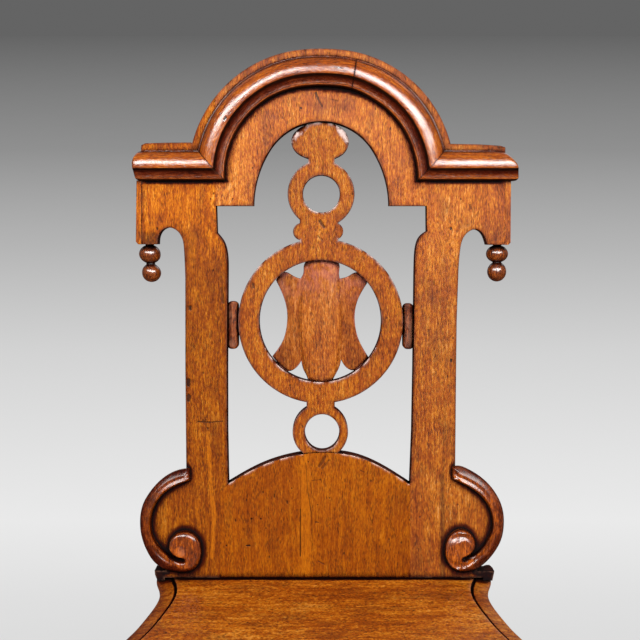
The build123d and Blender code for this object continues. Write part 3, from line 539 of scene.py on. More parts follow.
def oak(name, dark, mid, light, object_space=None, pore=0.8, gloss=0.38, shade_grime=1.0, wear_and_sheen=0.6, wearcol=(190, 128, 96), spots=0.7, marks=(),
        shift=(0, 0, 0), patina=0.35, patcol=(74, 27, 11), wave=0.6, grime_shade_col=(14, 4, 3), ao=10.0, aolo=0.12, aohi=0.48, spec=0.42, contrast=1.0,
        grain=(1.0, 1.0), porecol=(32, 10, 3), pale=None, deep=0.68, ior=1.5, bumpy=1.0, low=None):
    N = Net(name)
    dk = lambda c: tuple(v * deep for v in c4(*c)[:3]) + (1.0,)
    if object_space:
        tc = N.n("ShaderNodeTexCoord")
        order = object_space
        sep = N.n("ShaderNodeSeparateXYZ", {0: tc.outputs["Object"]})
        com = N.n("ShaderNodeCombineXYZ", {0: N.m("MULTIPLY", sep.outputs[order[0]], 1000.0), 1: N.m("MULTIPLY", sep.outputs[order[1]], 1000.0),
                                           2: N.m("MULTIPLY", sep.outputs[order[2]], 1000.0)})
        g = com.outputs[0]
        wr = dr = None
    else:
        g = N.n("ShaderNodeAttribute", attribute_name="grain").outputs["Vector"]
        wr = N.n("ShaderNodeAttribute", attribute_name="wear_and_sheen").outputs["Fac"]
        dr = N.n("ShaderNodeAttribute", attribute_name="dirt_and_shade").outputs["Fac"]
    sx, sy, sz = shift
    ga, gl = grain
    # the grain leans and wavers a little
    warp = N.n("ShaderNodeTexNoise", {"Vector": N.n("ShaderNodeMapping", {"Vector": g, "Scale": (1 / 37, 1 / 37, 1 / 90), "Location": (sx + 3, sy, sz)}).outputs[0],
                                      "Scale": 1.0, "Detail": 2.0}).outputs["Color"]
    wv = N.n("ShaderNodeVectorMath", {0: warp, 1: (9.0, 9.0, 0.0), 2: (-4.5, -4.5, 0.0)}, operation="MULTIPLY_ADD").outputs[0]
    gw = N.n("ShaderNodeVectorMath", {0: g, 1: wv}, operation="ADD").outputs[0]
    tone = N.noise(gw, (1 / 38, 1 / 38, 1 / 110), 2.0, 0.5, (sx, sy, sz))
    blot = N.noise(gw, (1 / 8, 1 / 8, 1 / 19), 3.0, 0.6, (sx + 7, sy, sz))
    fibre = N.noise(gw, (0.62 * ga, 0.62 * ga, 0.020 * gl), 3.0, 0.7, (sx, sy + 11, sz))
    fleck = N.noise(gw, (0.92 * ga, 0.92 * ga, 0.20 * gl), 3.0, 0.75, (sx + 1, sy + 2, sz))
    val = N.m("MULTIPLY_ADD", tone, 0.55, N.m("MULTIPLY_ADD", blot, 0.50, N.m("MULTIPLY_ADD", fibre, 0.85, N.m("MULTIPLY", fleck, 1.30))))
    half = 0.42 / contrast
    ramp = N.n("ShaderNodeValToRGB", {"Fac": N.rng(val, 1.6 - half, 1.6 + half, smooth=False)})
    el = ramp.color_ramp.elements
    el[0].position, el[0].color = 0.05, dk(dark)
    el[1].position = 1.0
    e = el.new(0.45)
    e.color = dk(mid)
    e = el.new(0.74)
    e.color = dk(light)
    el[-1].color = dk((pale or tuple(min(250, int(v + k)) for v, k in zip(light, (26, 34, 34)))))
    col = ramp.outputs["Color"]
    # browner patches of old polish
    pat = N.noise(g, (1 / 17, 1 / 17, 1 / 34), 4.0, 0.62, (sx + 19, sy, sz + 4))
    pm = N.rng(pat, 0.50, 0.68)
    col = N.mix(N.m("MULTIPLY", pm, patina), col, dk(patcol))
    # pores: short dashes along the grain, in clusters
    where = N.rng(N.noise(gw, (1 / 7, 1 / 7, 1 / 26), 2.0, 0.5, (sx + 2, sy, sz)), 0.34, 0.66)
    c1 = N.cells(gw, (0.85 * ga, 0.85 * ga, 0.19 * gl), (sx, sy, sz))
    p1 = N.rng(N.m("SUBTRACT", c1, N.m("MULTIPLY", where, 0.18)), 0.12, 0.32, 1.0, 0.0)
    c2 = N.cells(gw, (0.60 * ga, 0.60 * ga, 0.12 * gl), (sx + 5, sy, sz))
    p2 = N.rng(N.m("SUBTRACT", c2, N.m("MULTIPLY", where, 0.10)), 0.10, 0.20, 1.0, 0.0)
    pores = N.m("MAXIMUM", N.m("MULTIPLY", p1, pore * 0.50), N.m("MULTIPLY", p2, pore * 0.68))
    col = N.mix(pores, col, c4(*porecol))
    if low:
        # painted shade: darker downwards, as the lamps' light falls off lower on the chair
        za, zb, kk = low
        zz = N.rng(N.m("MULTIPLY_ADD", blot, 60.0, N.n("ShaderNodeSeparateXYZ", {0: g}).outputs[2]), za + 30, zb + 30, kk, 1.0)
        col = N.mix(1.0, col, N.n("ShaderNodeCombineColor", {0: zz, 1: zz, 2: zz}).outputs[0], "MULTIPLY")
    # knocks and worm holes
    c3 = N.cells(g, (1 / 12, 1 / 12, 1 / 19), (sx + 31, sy, sz))
    sp = N.rng(c3, 0.050, 0.080, 1.0, 0.0)
    c5 = N.cells(g, (1 / 5.5, 1 / 5.5, 1 / 8.0), (sx + 13, sy, sz))
    sp2 = N.m("MULTIPLY", N.rng(c5, 0.06, 0.10, 1.0, 0.0), N.rng(blot, 0.50, 0.62))
    sp = N.m("MULTIPLY", N.m("MAXIMUM", sp, N.m("MULTIPLY", sp2, 0.75)), spots)
    col = N.mix(sp, col, c4(30, 10, 5))
    # marks at given places: capsules in the wood's own coordinates
    gs = N.n("ShaderNodeSeparateXYZ", {0: g})
    mk = lt = None
    for (ax, az, bx, bz, rr, strength) in marks:
        flat = N.n("ShaderNodeCombineXYZ", {0: gs.outputs[0], 1: 0.0, 2: gs.outputs[2]}).outputs[0]
        pa = N.n("ShaderNodeVectorMath", {0: flat, 1: (ax, 0, az)}, operation="SUBTRACT").outputs[0]
        ba = Vector((bx - ax, 0, bz - az))
        tt = N.m("MULTIPLY", N.n("ShaderNodeVectorMath", {0: pa, 1: tuple(ba)}, operation="DOT_PRODUCT").outputs["Value"],
                 1 / max(ba.length_squared, 1e-6), clamp=True)
        on = N.n("ShaderNodeVectorMath", {0: tuple(ba), 3: tt}, operation="SCALE").outputs[0]
        dd = N.n("ShaderNodeVectorMath", {0: pa, 1: on}, operation="DISTANCE").outputs["Value"]
        wob = N.m("MULTIPLY_ADD", N.m("SUBTRACT", blot, 0.5), rr * 1.6, dd)
        hit = N.rng(wob, rr * 0.6, rr * 1.5, abs(strength), 0.0)
        if strength < 0:
            lt = hit if lt is None else N.m("MAXIMUM", lt, hit)
        else:
            mk = hit if mk is None else N.m("MAXIMUM", mk, hit)
    if lt is not None:
        # lighter streaks: sapwood on the boards, and on the left scroll painted highlights on the boss and along the
        # band's ridge
        streak_glint = N.m("MULTIPLY", lt, N.rng(fleck, 0.25, 0.60, 0.35, 1.0))
        col = N.mix(streak_glint, col, dk(tuple(min(250, int(v * 1.12 + 6)) for v in light)))
    if mk is not None:
        col = N.mix(mk, col, c4(24, 9, 5))
    wn = N.noise(g, (0.14, 0.14, 0.09), 4.0, 0.6, (sx, sy + 3, sz))
    # painted shade and old dirt: ambient occlusion darkens corners and creases, and the mesh adds the darkening painted
    # on it
    aon = N.n("ShaderNodeAmbientOcclusion", {"Distance": ao * 0.001}, samples=6)
    grime_shade = N.m("SUBTRACT", 1.0, aon.outputs["AO"], clamp=True)
    gn = N.noise(g, (0.19, 0.19, 0.10), 4.0, 0.65, (sx + 4, sy, sz))
    gj = N.m("MULTIPLY_ADD", gn, 0.5, -0.25)
    grime_shade = N.m("MULTIPLY", N.rng(N.m("ADD", grime_shade, N.m("MULTIPLY", gj, 0.6)), aolo, aohi), shade_grime)
    if dr is not None:
        dj = N.rng(N.m("ADD", dr, N.m("MULTIPLY", gj, N.m("MULTIPLY", dr, 1.4))), 0.0, 1.0, smooth=False)
        grime_shade = N.m("MAXIMUM", grime_shade, dj)
    # light dirt and painted shade is brown, heavy dirt and painted shade nearly black
    col = N.mix(N.rng(grime_shade, 0.0, 0.55), col, N.mix(1.0, col, c4(150, 104, 96), "MULTIPLY"))
    col = N.mix(N.rng(grime_shade, 0.25, 0.95), col, c4(*grime_shade_col))
    if wr is not None:
        wm = N.m("MULTIPLY", N.m("MULTIPLY", wr, N.rng(wn, 0.40, 0.60)), wear_and_sheen)
        col = N.mix(wm, col, dk(wearcol))
    rough = N.m("MULTIPLY_ADD", fleck, 0.20, gloss - 0.10)
    rough = N.m("ADD", rough, N.m("MULTIPLY", pores, 0.20))
    rough = N.m("ADD", rough, N.m("MULTIPLY", grime_shade, 0.16))
    rough = N.m("ADD", rough, N.m("MULTIPLY", N.noise(g, (1 / 17, 1 / 17, 1 / 30), 3.0, 0.6, (sx + 9, sy, sz)), 0.12), clamp=True)
    hgt = N.m("MULTIPLY", pores, -1.0)
    hgt = N.m("MULTIPLY_ADD", sp, -1.4, hgt)
    if mk is not None:
        hgt = N.m("MULTIPLY_ADD", mk, -2.0, hgt)
    hgt = N.m("MULTIPLY_ADD", fleck, 1.0, hgt)
    hgt = N.m("MULTIPLY_ADD", N.noise(g, (1 / 12, 1 / 12, 1 / 30), 2.0, 0.5, (sx + 6, sy, sz)), 3.0 * wave, hgt)
    hgt = N.m("MULTIPLY_ADD", wn, 0.8, hgt)
    bump = N.n("ShaderNodeBump", {"Height": hgt, "Strength": 0.6, "Distance": 0.0004 * bumpy})
    bs = N.n("ShaderNodeBsdfPrincipled", {"Base Color": col, "Roughness": rough, "Normal": bump.outputs[0]})
    # thick dirt and painted shade is dull
    N.t.links.new(N.m("MULTIPLY_ADD", N.m("MULTIPLY", grime_shade, 1.6, clamp=True), -0.88 * spec, spec), bs.inputs["Specular IOR Level"])
    bs.inputs["IOR"].default_value = ior
    N.n("ShaderNodeOutputMaterial", {"Surface": bs.outputs[0]})
    return N.mat


def iron(name):
    N = Net(name)
    tc = N.n("ShaderNodeTexCoord")
    a = N.noise(tc.outputs["Object"], (260, 260, 260), 4.0, 0.6)
    b = N.noise(tc.outputs["Object"], (900, 900, 900), 3.0, 0.6)
    col = N.mix(N.rng(a, 0.42, 0.6), c4(52, 46, 42), c4(92, 52, 30))
    rough = N.m("MULTIPLY_ADD", a, 0.4, 0.35)
    bump = N.n("ShaderNodeBump", {"Height": b, "Strength": 0.4, "Distance": 0.0002})
    bs = N.n("ShaderNodeBsdfPrincipled", {"Base Color": col, "Roughness": rough, "Normal": bump.outputs[0]})
    bs.inputs["Metallic"].default_value = 0.8
    N.n("ShaderNodeOutputMaterial", {"Surface": bs.outputs[0]})
    return N.mat


def dress(ob, mat):
    ob.data.materials.clear()
    ob.data.materials.append(mat)


def piece(ob, node, mat):
    dress(ob, mat)
    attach(ob, "root")
    if node:
        for nm in ([node] if isinstance(node, str) else node):
            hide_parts(nm)
    return ob


# ------------------------------------------------------------------ materials in use
# knots, cracks and stains, as capsules across and along the board: x, s, x, s, radius, strength
CREST_MARKS = [(-15.0, 493.7, -14.6, 487.3, 0.35, 0.7), (-4.9, 453.5, -3.0, 448.0, 0.9, 0.8),
         (-3.0, 448.0, 0.6, 441.5, 0.7, 0.6), (-18.8, 439.7, -18.8, 439.7, 0.9, 0.9),
         (76.3, 469.0, 78.2, 465.4, 0.5, 0.7), (-54.9, 401.1, -54.9, 393.7, 0.5, 0.5),
         (8.0, 448.0, 15.4, 446.1, 0.4, 0.4)]
RIGHT_MARKS = [(163.5, 404.8, 164.5, 402.9, 0.8, 0.8), (120.4, 329.0, 120.4, 328.1, 1.0, 0.9),
         (121.1, 206.0, 121.1, 205.1, 1.0, 0.9), (113.5, 97.0, 114.2, 1.0, 2.2, 0.5),
         (115.7, 168.5, 114.2, 76.1, 1.3, 0.22), (137.9, 350.3, 138.9, 346.6, 0.6, 0.6),
         (100.4, 234.1, 100.4, 228.5, 0.5, 0.6), (104.9, 280.7, 104.9, 276.1, 0.5, 0.6)]
LEFT_MARKS = [(-122.0, 255.6, -122.0, 253.7, 1.5, 0.85), (-123.9, 187.3, -124.1, 183.0, 1.5, 0.85),
         (-123.8, 172.3, -124.2, 168.5, 1.5, 0.8), (-115.4, 148.3, -104.0, 147.6, 0.5, 0.8), (-104.0, 147.6, -92.0, 148.6, 0.4, 0.75), (-111.0, 149.4, -107.0, 149.6, 0.4, 0.6),
         (-99.9, 361.4, -100.0, 360.5, 0.7, 0.8), (-152.5, 329.0, -152.1, 328.1, 0.8, 0.8),
         (-92.9, 273.3, -91.1, 260.2, 1.3, 0.5), (-161.9, 316.0, -161.0, 319.7, 0.6, 0.6)]
LOW_MARKS = [(-65.4, 56.5, -65.4, 56.5, 0.7, 0.95), (-56.8, 56.5, -56.8, 56.5, 0.7, 0.9),
         (-94.8, 33.4, -94.8, 33.4, 0.7, 0.9), (-89.1, 31.0, -89.1, 31.0, 0.7, 0.9),
         (-70.3, 31.0, -67.5, 31.0, 0.7, 0.95), (-98.9, 61.9, -96.5, 61.9, 0.5, 0.8),
         (-27.7, 85.3, -27.7, 85.3, 0.7, 0.7), (-32.0, 73.2, -32.0, 71.3, 0.6, 0.7),
         (-43.9, 79.9, -43.9, 77.0, 0.5, 0.7), (-52.1, 47.4, -52.1, 47.4, 0.6, 0.6), (-3.5, 69.7, -3.5, 69.7, 0.6, 0.7),
         (-12.2, 110.4, -12.2, 110.4, 0.6, 0.8), (-19.4, 65.7, -19.7, 21.0, 0.42, 0.85),
         (-19.1, 102.6, -19.4, 65.7, 0.3, 0.35), (-14.5, 109.2, -12.9, 83.7, 0.35, 0.55),
         (-12.9, 83.7, -8.9, 60.0, 0.35, 0.6), (-8.9, 60.0, -8.4, 28.6, 0.35, 0.35),
         (-5.9, 53.3, -2.6, 53.0, 0.45, 0.75), (-8.7, 92.6, -0.3, 93.6, 0.35, 0.5),
         (-2.1, 106.3, 3.5, 114.8, 1.3, 0.55), (0.7, 104.5, 7.2, 112.0, 0.9, 0.4), (-3.1, 16.3, 2.6, 13.4, 0.5, 0.6),
         (36.3, 102.6, 40.1, 100.7, 0.4, 0.5), (47.6, 55.2, 47.7, 52.4, 0.5, 0.6)]
SPLAT_MARKS = [(-1.2, 335.5, 2.5, 329.9, 1.4, 0.7), (1.6, 391.9, 1.6, 377.2, 0.5, 0.5), (20.6, 418.7, 20.6, 418.7, 0.5, 0.9),
         (22.9, 418.2, 22.9, 418.2, 0.5, 0.9), (-63.6, 276.9, -63.2, 274.1, 1.1, 0.6),
         (-3.1, 321.6, 0.7, 317.9, 0.8, 0.4)]

# The boards are one oak in copies of different brightness: the left stave's and the lower boards' darker colours are
# painted shade and the crest's brighter ones painted light, as the lamps fall off to the left and downwards.
STAVE = dict(dark=(112, 42, 2), mid=(168, 80, 3), light=(206, 122, 16), pale=(232, 160, 84), spec=0.18)
LOWER = dict(dark=(108, 41, 1), mid=(156, 74, 1), light=(190, 106, 2), pale=(214, 138, 50), spec=0.10)
LOW_MARKS += [(-16.2, 115.8, -15.6, 87.4, 3.74, -0.39), (-15.5, 87.4, -14.9, 74.2, 3.06, -0.42), (-15.3, 74.2, -14.8, 2.9, 4.08, -0.36)]
LEFT_MARKS += [(-105.8, 137.5, -103.6, 86.5, 1.7, -0.33), (-103.6, 86.5, -100.6, 60.0, 1.87, -0.36), (-100.4, 60.9, -103.0, 20.1, 1.7, -0.33), (-117.1, 74.2, -111.3, 17.2, 1.7, -0.18), (-120.1, 321.6, -120.2, 297.5, 3.4, -0.21),
               (-165.0, 319.5, -154.0, 318.5, 5.2, 0.46), (-161.0, 321.6, -160.2, 316.0, 0.5, 0.8), (-157.5, 320.0, -157.0, 315.5, 0.5, 0.7)]
m_left = oak("oak_stave_left", dark=(104, 39, 1), mid=(156, 73, 1), light=(194, 110, 3), pale=(220, 144, 56), spec=0.12, shift=(1.3, 0.2, 0.4),
             marks=LEFT_MARKS, deep=0.92, low=(285.0, 345.0, 0.68), grime_shade_col=(19, 12, 13))
m_right = oak("oak_stave_right", dark=(112, 42, 2), mid=(168, 80, 3), light=(206, 122, 20), pale=(232, 160, 90), spec=0.24, shift=(5.1, 2.2, 1.4),
              marks=RIGHT_MARKS, deep=0.80, low=(240.0, 345.0, 0.82), grime_shade_col=(19, 12, 13))
m_crest = oak("oak_crest", dark=(112, 42, 2), mid=(168, 80, 3), light=(206, 122, 20), pale=(232, 160, 90), spec=0.26, shift=(9.7, 1.2, 3.4),
              marks=CREST_MARKS, deep=0.84)
# its near-white worn colour paints the highlight along the lower boards' top arris
m_low = oak("oak_lower", **LOWER, shift=(13.1, 4.2, 6.4), patina=0.2, marks=LOW_MARKS, contrast=0.75, wearcol=(250, 214, 200), wear_and_sheen=0.9, deep=0.70)
# its near-white worn colour paints highlights on the cap's bevel and the upward arrises
m_splat = oak("oak_splat", **STAVE, shift=(17.9, 3.2, 2.4), marks=SPLAT_MARKS, wearcol=(255, 226, 218), wear_and_sheen=0.9)
# its pale pink worn colour also paints a sheen on the carving's upper part
m_cart = oak("oak_cartouche", dark=(108, 42, 8), mid=(160, 76, 12), light=(202, 116, 26), pale=(222, 150, 86), spec=0.24, shift=(21.5, 3.2, 2.4), gloss=0.34,
             patina=0.5, ao=5.0, wearcol=(200, 116, 104), deep=0.72, wear_and_sheen=0.7,
             marks=[(-37.0, 272.0, -36.0, 204.0, 7.0, 0.16), (-30.0, 280.0, -30.0, 270.0, 5.0, 0.14)])
m_lug = oak("oak_lug", dark=(48, 15, 5), mid=(94, 36, 8), light=(150, 70, 24), shift=(3.5, 6.2, 2.4), gloss=0.34, ao=3.0, contrast=1.5, spec=0.25)
m_mould = oak("oak_moulding", dark=(84, 28, 1), mid=(158, 68, 2), light=(204, 108, 10), shift=(2.5, 8.2, 5.4), gloss=0.13, pore=0.6, deep=0.70,
              wear_and_sheen=0.3, spots=0.6, wave=0.6, spec=1.0, ior=1.56, patcol=(76, 24, 4), marks=[(73.2, 338.6, 73.0, 341.4, 1.1, 1.0)], bumpy=0.45)
# its lighter marks paint highlights on the left scroll's boss and along its band's ridge
m_scroll = oak("oak_scroll", dark=(64, 20, 1), mid=(124, 50, 2), light=(190, 94, 8), shift=(6.5, 1.2, 8.4), gloss=0.13, pore=0.5,
               wear_and_sheen=0.5, spots=0.7, wave=0.5, spec=0.9, ior=1.52, patina=0.6, patcol=(66, 22, 2), bumpy=0.08, deep=0.80,
               marks=[(-132.4, 23.6, -131.5, 23.3, 2.8, -0.6), (-143.8, 31.9, -134.8, 25.3, 1.6, -0.3), (-122.7, 30.9, -121.2, 26.2, 1.7, 0.42), (-158.2, 58.4, -155.8, 45.7, 0.9, -0.4),
                      (-155.8, 45.7, -148.6, 28.6, 0.9, -0.5), (-164.3, 58.5, -162.2, 57.6, 1.4, 0.4), (129.5, 28.6, 139.0, 17.2, 3.0, -0.3), (156.4, 91.2, 161.2, 76.1, 2.4, -0.35), (161.3, 55.2, 162.2, 62.8, 1.6, -0.3)])
m_pend = oak("oak_pendant", dark=(46, 14, 3), mid=(92, 36, 6), light=(160, 76, 12), shift=(2.5, 2.2, 9.4), gloss=0.13, pore=0.4, wear_and_sheen=0.2, spots=0.4,
             wave=0.3, spec=1.0, ior=1.6, bumpy=0.15)
m_seat = oak("oak_seat_top", dark=(104, 40, 2), mid=(160, 75, 2), light=(206, 122, 24), pale=(226, 152, 70), spec=0.24, shift=(8.5, 5.2, 1.1), spots=0.9,
             patina=0.3, grain=(0.42, 1.5), deep=0.80)
m_seat2 = oak("oak_seat_front", dark=(104, 40, 2), mid=(160, 75, 2), light=(206, 122, 24), pale=(226, 152, 70), spec=0.24, shift=(28.5, 15.2, 4.1),
              spots=0.9, patina=0.3, grain=(0.42, 1.5), deep=0.80)
m_rail = oak("oak_rail", dark=(78, 30, 4), mid=(132, 60, 8), light=(170, 92, 24), shift=(3.5, 9.2, 7.4), deep=1.1, ao=4.0)
m_leg = oak("oak_leg", dark=(76, 29, 4), mid=(130, 56, 8), light=(168, 88, 22), shift=(4.5, 4.2, 3.3), gloss=0.28, spec=0.6, deep=1.05, ao=4.0)
m_peg = oak("oak_peg", dark=(44, 20, 6), mid=(86, 42, 12), light=(122, 66, 26), shift=(1.5, 4.2, 3.3))
m_peg_cad = oak("oak_peg_plain", dark=(44, 20, 6), mid=(86, 42, 12), light=(122, 66, 26), object_space=(1, 2, 0))
m_block_cad = oak("pine_block", dark=(92, 62, 30), mid=(130, 95, 50), light=(160, 124, 74), patcol=(100, 66, 32), object_space=(1, 2, 0), pore=0.12,
                  gloss=0.7, spots=0.4, deep=0.9)
m_tongue_cad = oak("oak_tongue", dark=(66, 30, 8), mid=(112, 54, 16), light=(148, 82, 28), object_space=(1, 2, 0))
m_iron = iron("iron_dull")

# ------------------------------------------------------------------ outlines of the back
ARCH_R, ARCH_CX, ARCH_CS, T6 = 116.5, 7.0, 377.3, 6.0
rc, lc = (ARCH_CX, ARCH_CS), (-ARCH_CX, ARCH_CS)
BLK_L, BLK_R, JL = 313.8, 313.4, -94.9
SEAM_X, SPRING_S = 98.0, 349.5
a_seam = math.degrees(math.acos((SEAM_X - ARCH_CX) / ARCH_R))
a_spring = math.degrees(math.asin((407.0 - ARCH_CS) / ARCH_R))
top_r = ARCH_R + ARCH_CX / math.sin(math.radians(T6))
top_c = (0.0, ARCH_CS - (top_r - ARCH_R) * math.cos(math.radians(T6)))
INNER_R, INNER_CS, INNER_HALF, INNER_SIDE_R = 56.5, 371.1, 57.5, 98.1
so = INNER_SIDE_R - INNER_R
isx, iss = so * math.sin(math.radians(INNER_HALF)), INNER_CS - so * math.cos(math.radians(INNER_HALF))
a_isp = math.degrees(math.asin((SPRING_S - iss) / INNER_SIDE_R))
ics_r, ics_l = (-isx, iss), (isx, iss)
p_in_r = pol(ics_r, INNER_SIDE_R, a_isp)
p_in_l = (-p_in_r[0], p_in_r[1])
p_out_r = pol(rc, ARCH_R, a_seam)
p_out_l = (-p_out_r[0], p_out_r[1])
p_sp_r = pol(rc, ARCH_R, a_spring)

crest = chain(
    line(p_in_r, (SEAM_X, SPRING_S), p_out_r),
    arc(rc, ARCH_R, a_seam, 90 - T6), arc(top_c, top_r, 90 - T6, 90 + T6), arc(lc, ARCH_R, 90 + T6, 180 - a_seam),
    line(p_out_l, (-SEAM_X, SPRING_S), p_in_l),
    arc(ics_l, INNER_SIDE_R, 180 - a_isp, 90 + INNER_HALF), arc((0, INNER_CS), INNER_R, 90 + INNER_HALF, 90 - INNER_HALF),
    arc(ics_r, INNER_SIDE_R, 90 - INNER_HALF, a_isp))
right = chain(
    arc(rc, ARCH_R, a_seam, a_spring),
    line(p_sp_r, (119.1, 406.8), (146.9, 406.3), (165.4, 405.1), (170.5, 403.6), (170.5, BLK_R), (154.2, BLK_R)),
    spline([(154.2, BLK_R), (152.3, 319.6), (148.8, 325.2), (143.0, 327.7), (136.2, 325.0), (131.4, 318.5), (129.2, 309.0), (128.0, 296.0),
            (127.5, 284.0)]),
    line((127.5, 284.0), (126.3, 243.0), (126.0, 198.5), (125.6, 102.2)),
    spline([(125.6, 102.2), (137.4, 98.9), (150.0, 89.6), (161.6, 77.0), (168.6, 63.6), (170.4, 52.0), (168.4, 37.9), (162.2, 25.3),
            (154.8, 16.2), (147.0, 10.5)]),
    line((147.0, 10.5), (146.5, 6.4), (163.0, 6.4), (162.6, 4.0), (161.2, -2.6), (152.2, -2.6), (152.2, 0.2), (83.5, 0.2), (83.5, 88.4), (85.3, 138.4), (86.2, 198.5), (86.9, 283.5)),
    spline([(86.9, 283.5), (87.2, 298.0), (88.4, 312.0), (92.4, 321.5), (98.3, 326.0)]),
    line((98.3, 326.0), (SEAM_X, SPRING_S), p_out_r))
left = chain(
    arc(lc, ARCH_R, 180 - a_seam, 180 - a_spring),
    line((-p_sp_r[0], p_sp_r[1]), (-120.5, 408.1), (-144.6, 407.9), (-163.1, 407.3), (-166.6, 405.6), (-167.0, 403.4), (-167.0, BLK_L),
         (-152.2, BLK_L)),
    spline([(-152.2, BLK_L), (-151.3, 321.6), (-148.9, 326.0), (-142.5, 329.4), (-134.0, 326.4), (-129.4, 319.6), (-127.6, 308.4),
            (-126.6, 282.6)]),
    line((-126.6, 282.6), (-126.8, 243.0), (-127.0, 198.5), (-126.6, 99.8)),
    spline([(-126.6, 99.8), (-134.0, 98.2), (-144.8, 92.0), (-156.8, 80.6), (-165.6, 68.2), (-168.9, 55.0), (-168.1, 40.8), (-163.3, 26.4),
            (-154.9, 14.2), (-147.0, 9.8)]),
    line((-147.0, 9.8), (-146.5, 7.0), (-157.0, 7.0), (-156.6, 3.0), (-154.4, -2.6), (-147.4, -2.6), (-147.4, 0.2), (JL, 0.2), (JL, 82.0), (-87.5, 89.3), (-88.3, 138.4), (-88.2, 198.5), (-87.3, 288.2)),
    spline([(-87.3, 288.2), (-88.3, 307.5), (-91.0, 316.2), (-97.3, 324.6)]),
    line((-97.3, 324.6), (-SEAM_X, SPRING_S), p_out_l))
panel_top = spline([(-87.5, 89.3), (-57.4, 105.9), (-30.0, 115.0), (0.0, 118.8), (34.6, 114.6), (59.7, 103.4), (83.5, 88.4)], step=1.5)
k_seam = min(range(len(panel_top)), key=lambda i: abs(panel_top[i][0] + 16.0))
panel_top[k_seam] = (-16.0, panel_top[k_seam][1])
low_l = chain(panel_top[:k_seam + 1], line(panel_top[k_seam], (-16.0, 0.2), (JL, 0.2), (JL, 82.0), (-87.5, 89.3)))
low_r = chain(panel_top[k_seam:], line((83.5, 88.4), (83.5, 0.2), (-16.0, 0.2), panel_top[k_seam]))

gb = lambda ox, oy=0.0, oz=0.0: (lambda x, s, h: (x + ox, h + oy, s + oz))


def fade(d, full, none):
    """1 up to full, falling to 0 at none."""
    return min(1.0, max(0.0, (none - d) / (none - full)))


def board_shadow_dirt(x, s, h):
    """Painted shadow and old wax on the boards' faces: shadow under and inside the crest moulding, a dark line over it,
    and old grime along the seat.
    """
    if h < -1.5:
        return 0.0
    ax = abs(x)
    # painted shadow below and inside the moulding, deepest under the top of the arch
    if s > 372.9 and ax < 92:
        r = math.hypot(ax - ARCH_CX, s - ARCH_CS)
        k = max(0.0, (s - ARCH_CS) / 82.0) ** 1.5
        q = 82.0 - r - (1.3 if x > 0 else 0.0)
        if r < 109.5:
            dirt_and_shade = max(fade(q, 0.3 + 1.6 * k, 1.7 + 2.6 * k), (0.38 if x < 0 else 0.3) * fade(q, 1.5, 7.0))
        else:
            dirt_and_shade = fade(r - 109.5, 0.1, 1.3) * 0.6
    elif s > 366 and ax < 92:
        q = math.hypot(max(0.0, 88.5 - ax), 373.0 - s)
        dirt_and_shade = max(fade(q, 1.2, 3.2), 0.35 * fade(q, 3.0, 8.0))
    elif s > 395:
        dirt_and_shade = fade(s - 400.5, 0.2, 1.4) * 0.35 if ax > 104 else 0.0
    # painted shadow under the straight mouldings
    else:
        dirt_and_shade = max(fade(373.0 - s, 1.8, 3.2), 0.14 * fade(373.0 - s, 4.0, 12.0))
    # old wax along the seat, and the feet beside it blackened with grime and painted shade
    if ax > 143 and s < 9:
        dirt_and_shade = max(dirt_and_shade, 0.84 + 0.16 * fade(s + 2.6, 1.0, 3.0) + (0.16 if s > 6.2 else 0.0))
    return max(dirt_and_shade, fade(s, 0.5, 1.8) * 0.9)


def joint(x, s):
    """Glued edges between the boards keep their sharp arrises."""
    ax = abs(x)
    if s < 90 and (abs(x - JL) < 0.4 or abs(x - 83.5) < 0.4 or abs(x + 16.0) < 0.4 or (s < 89 and -95.5 < x < -87.8 and s > 81)):
        return 0.12
    if 327 < s < 352 and abs(ax - SEAM_X) < 0.9 or 349 < s < 450 and abs(ax - SEAM_X) < 0.2:
        return 0.12
    if -15.6 < x < 13.9 and 116.5 < s < 119.5 or abs(x + 16.0) < 0.4 and s < 119.5:
        return 0.12
    if abs(x - 170.5) < 0.2 and 314 < s < 373:
        return 0.3
    return 1.0


BT = 24.0


scr_r = chain(
    spline([(122.2, 105.6), (125.6, 106.7), (138.1, 103.4), (152.4, 93.8), (163.9, 80.2), (170.1, 64.9), (171.1, 52.3), (168.8, 37.9),
            (162.3, 25.3), (154.7, 16.2), (146.5, 10.2), (137.0, 7.4)], 1.4),
    spline([(137.0, 7.4), (130.8, 7.2), (122.5, 11.0), (117.2, 18.5), (115.9, 28.5), (118.6, 38.6), (124.6, 45.2), (131.2, 47.2), (138.5, 44.6),
            (143.4, 38.6), (144.6, 32.2), (143.4, 26.6), (141.2, 22.6)], 1.2),
    spline([(141.2, 22.6), (149.0, 27.9), (154.6, 35.6), (159.2, 45.6), (160.2, 55.3), (156.4, 68.6), (147.7, 80.0), (136.2, 88.0),
            (122.8, 94.8)], 1.4),
    line((122.8, 94.8), (122.2, 105.6), step=1.5))
scr_l = chain(
    spline([(-122.8, 104.4), (-126.8, 104.2), (-134.4, 102.7), (-146.7, 96.4), (-159.2, 84.0), (-167.4, 69.7), (-169.8, 55.3), (-168.5, 40.8),
            (-163.4, 26.4), (-154.8, 14.3), (-146.0, 9.2), (-136.0, 7.2)], 1.4),
    spline([(-136.0, 7.2), (-127.5, 6.8), (-119.6, 9.6), (-114.0, 17.0), (-112.4, 28.6), (-115.0, 38.0), (-120.5, 43.6), (-128.3, 45.6),
            (-135.8, 43.4), (-141.6, 37.4), (-143.0, 30.6), (-142.4, 25.6), (-140.4, 21.4)], 1.2),
    spline([(-140.4, 21.4), (-147.2, 26.6), (-155.6, 36.4), (-159.4, 50.5), (-156.4, 66.8), (-146.8, 81.2), (-134.5, 88.9), (-122.8, 93.4)], 1.4),
    line((-122.8, 93.4), (-122.8, 104.4), step=1.5))
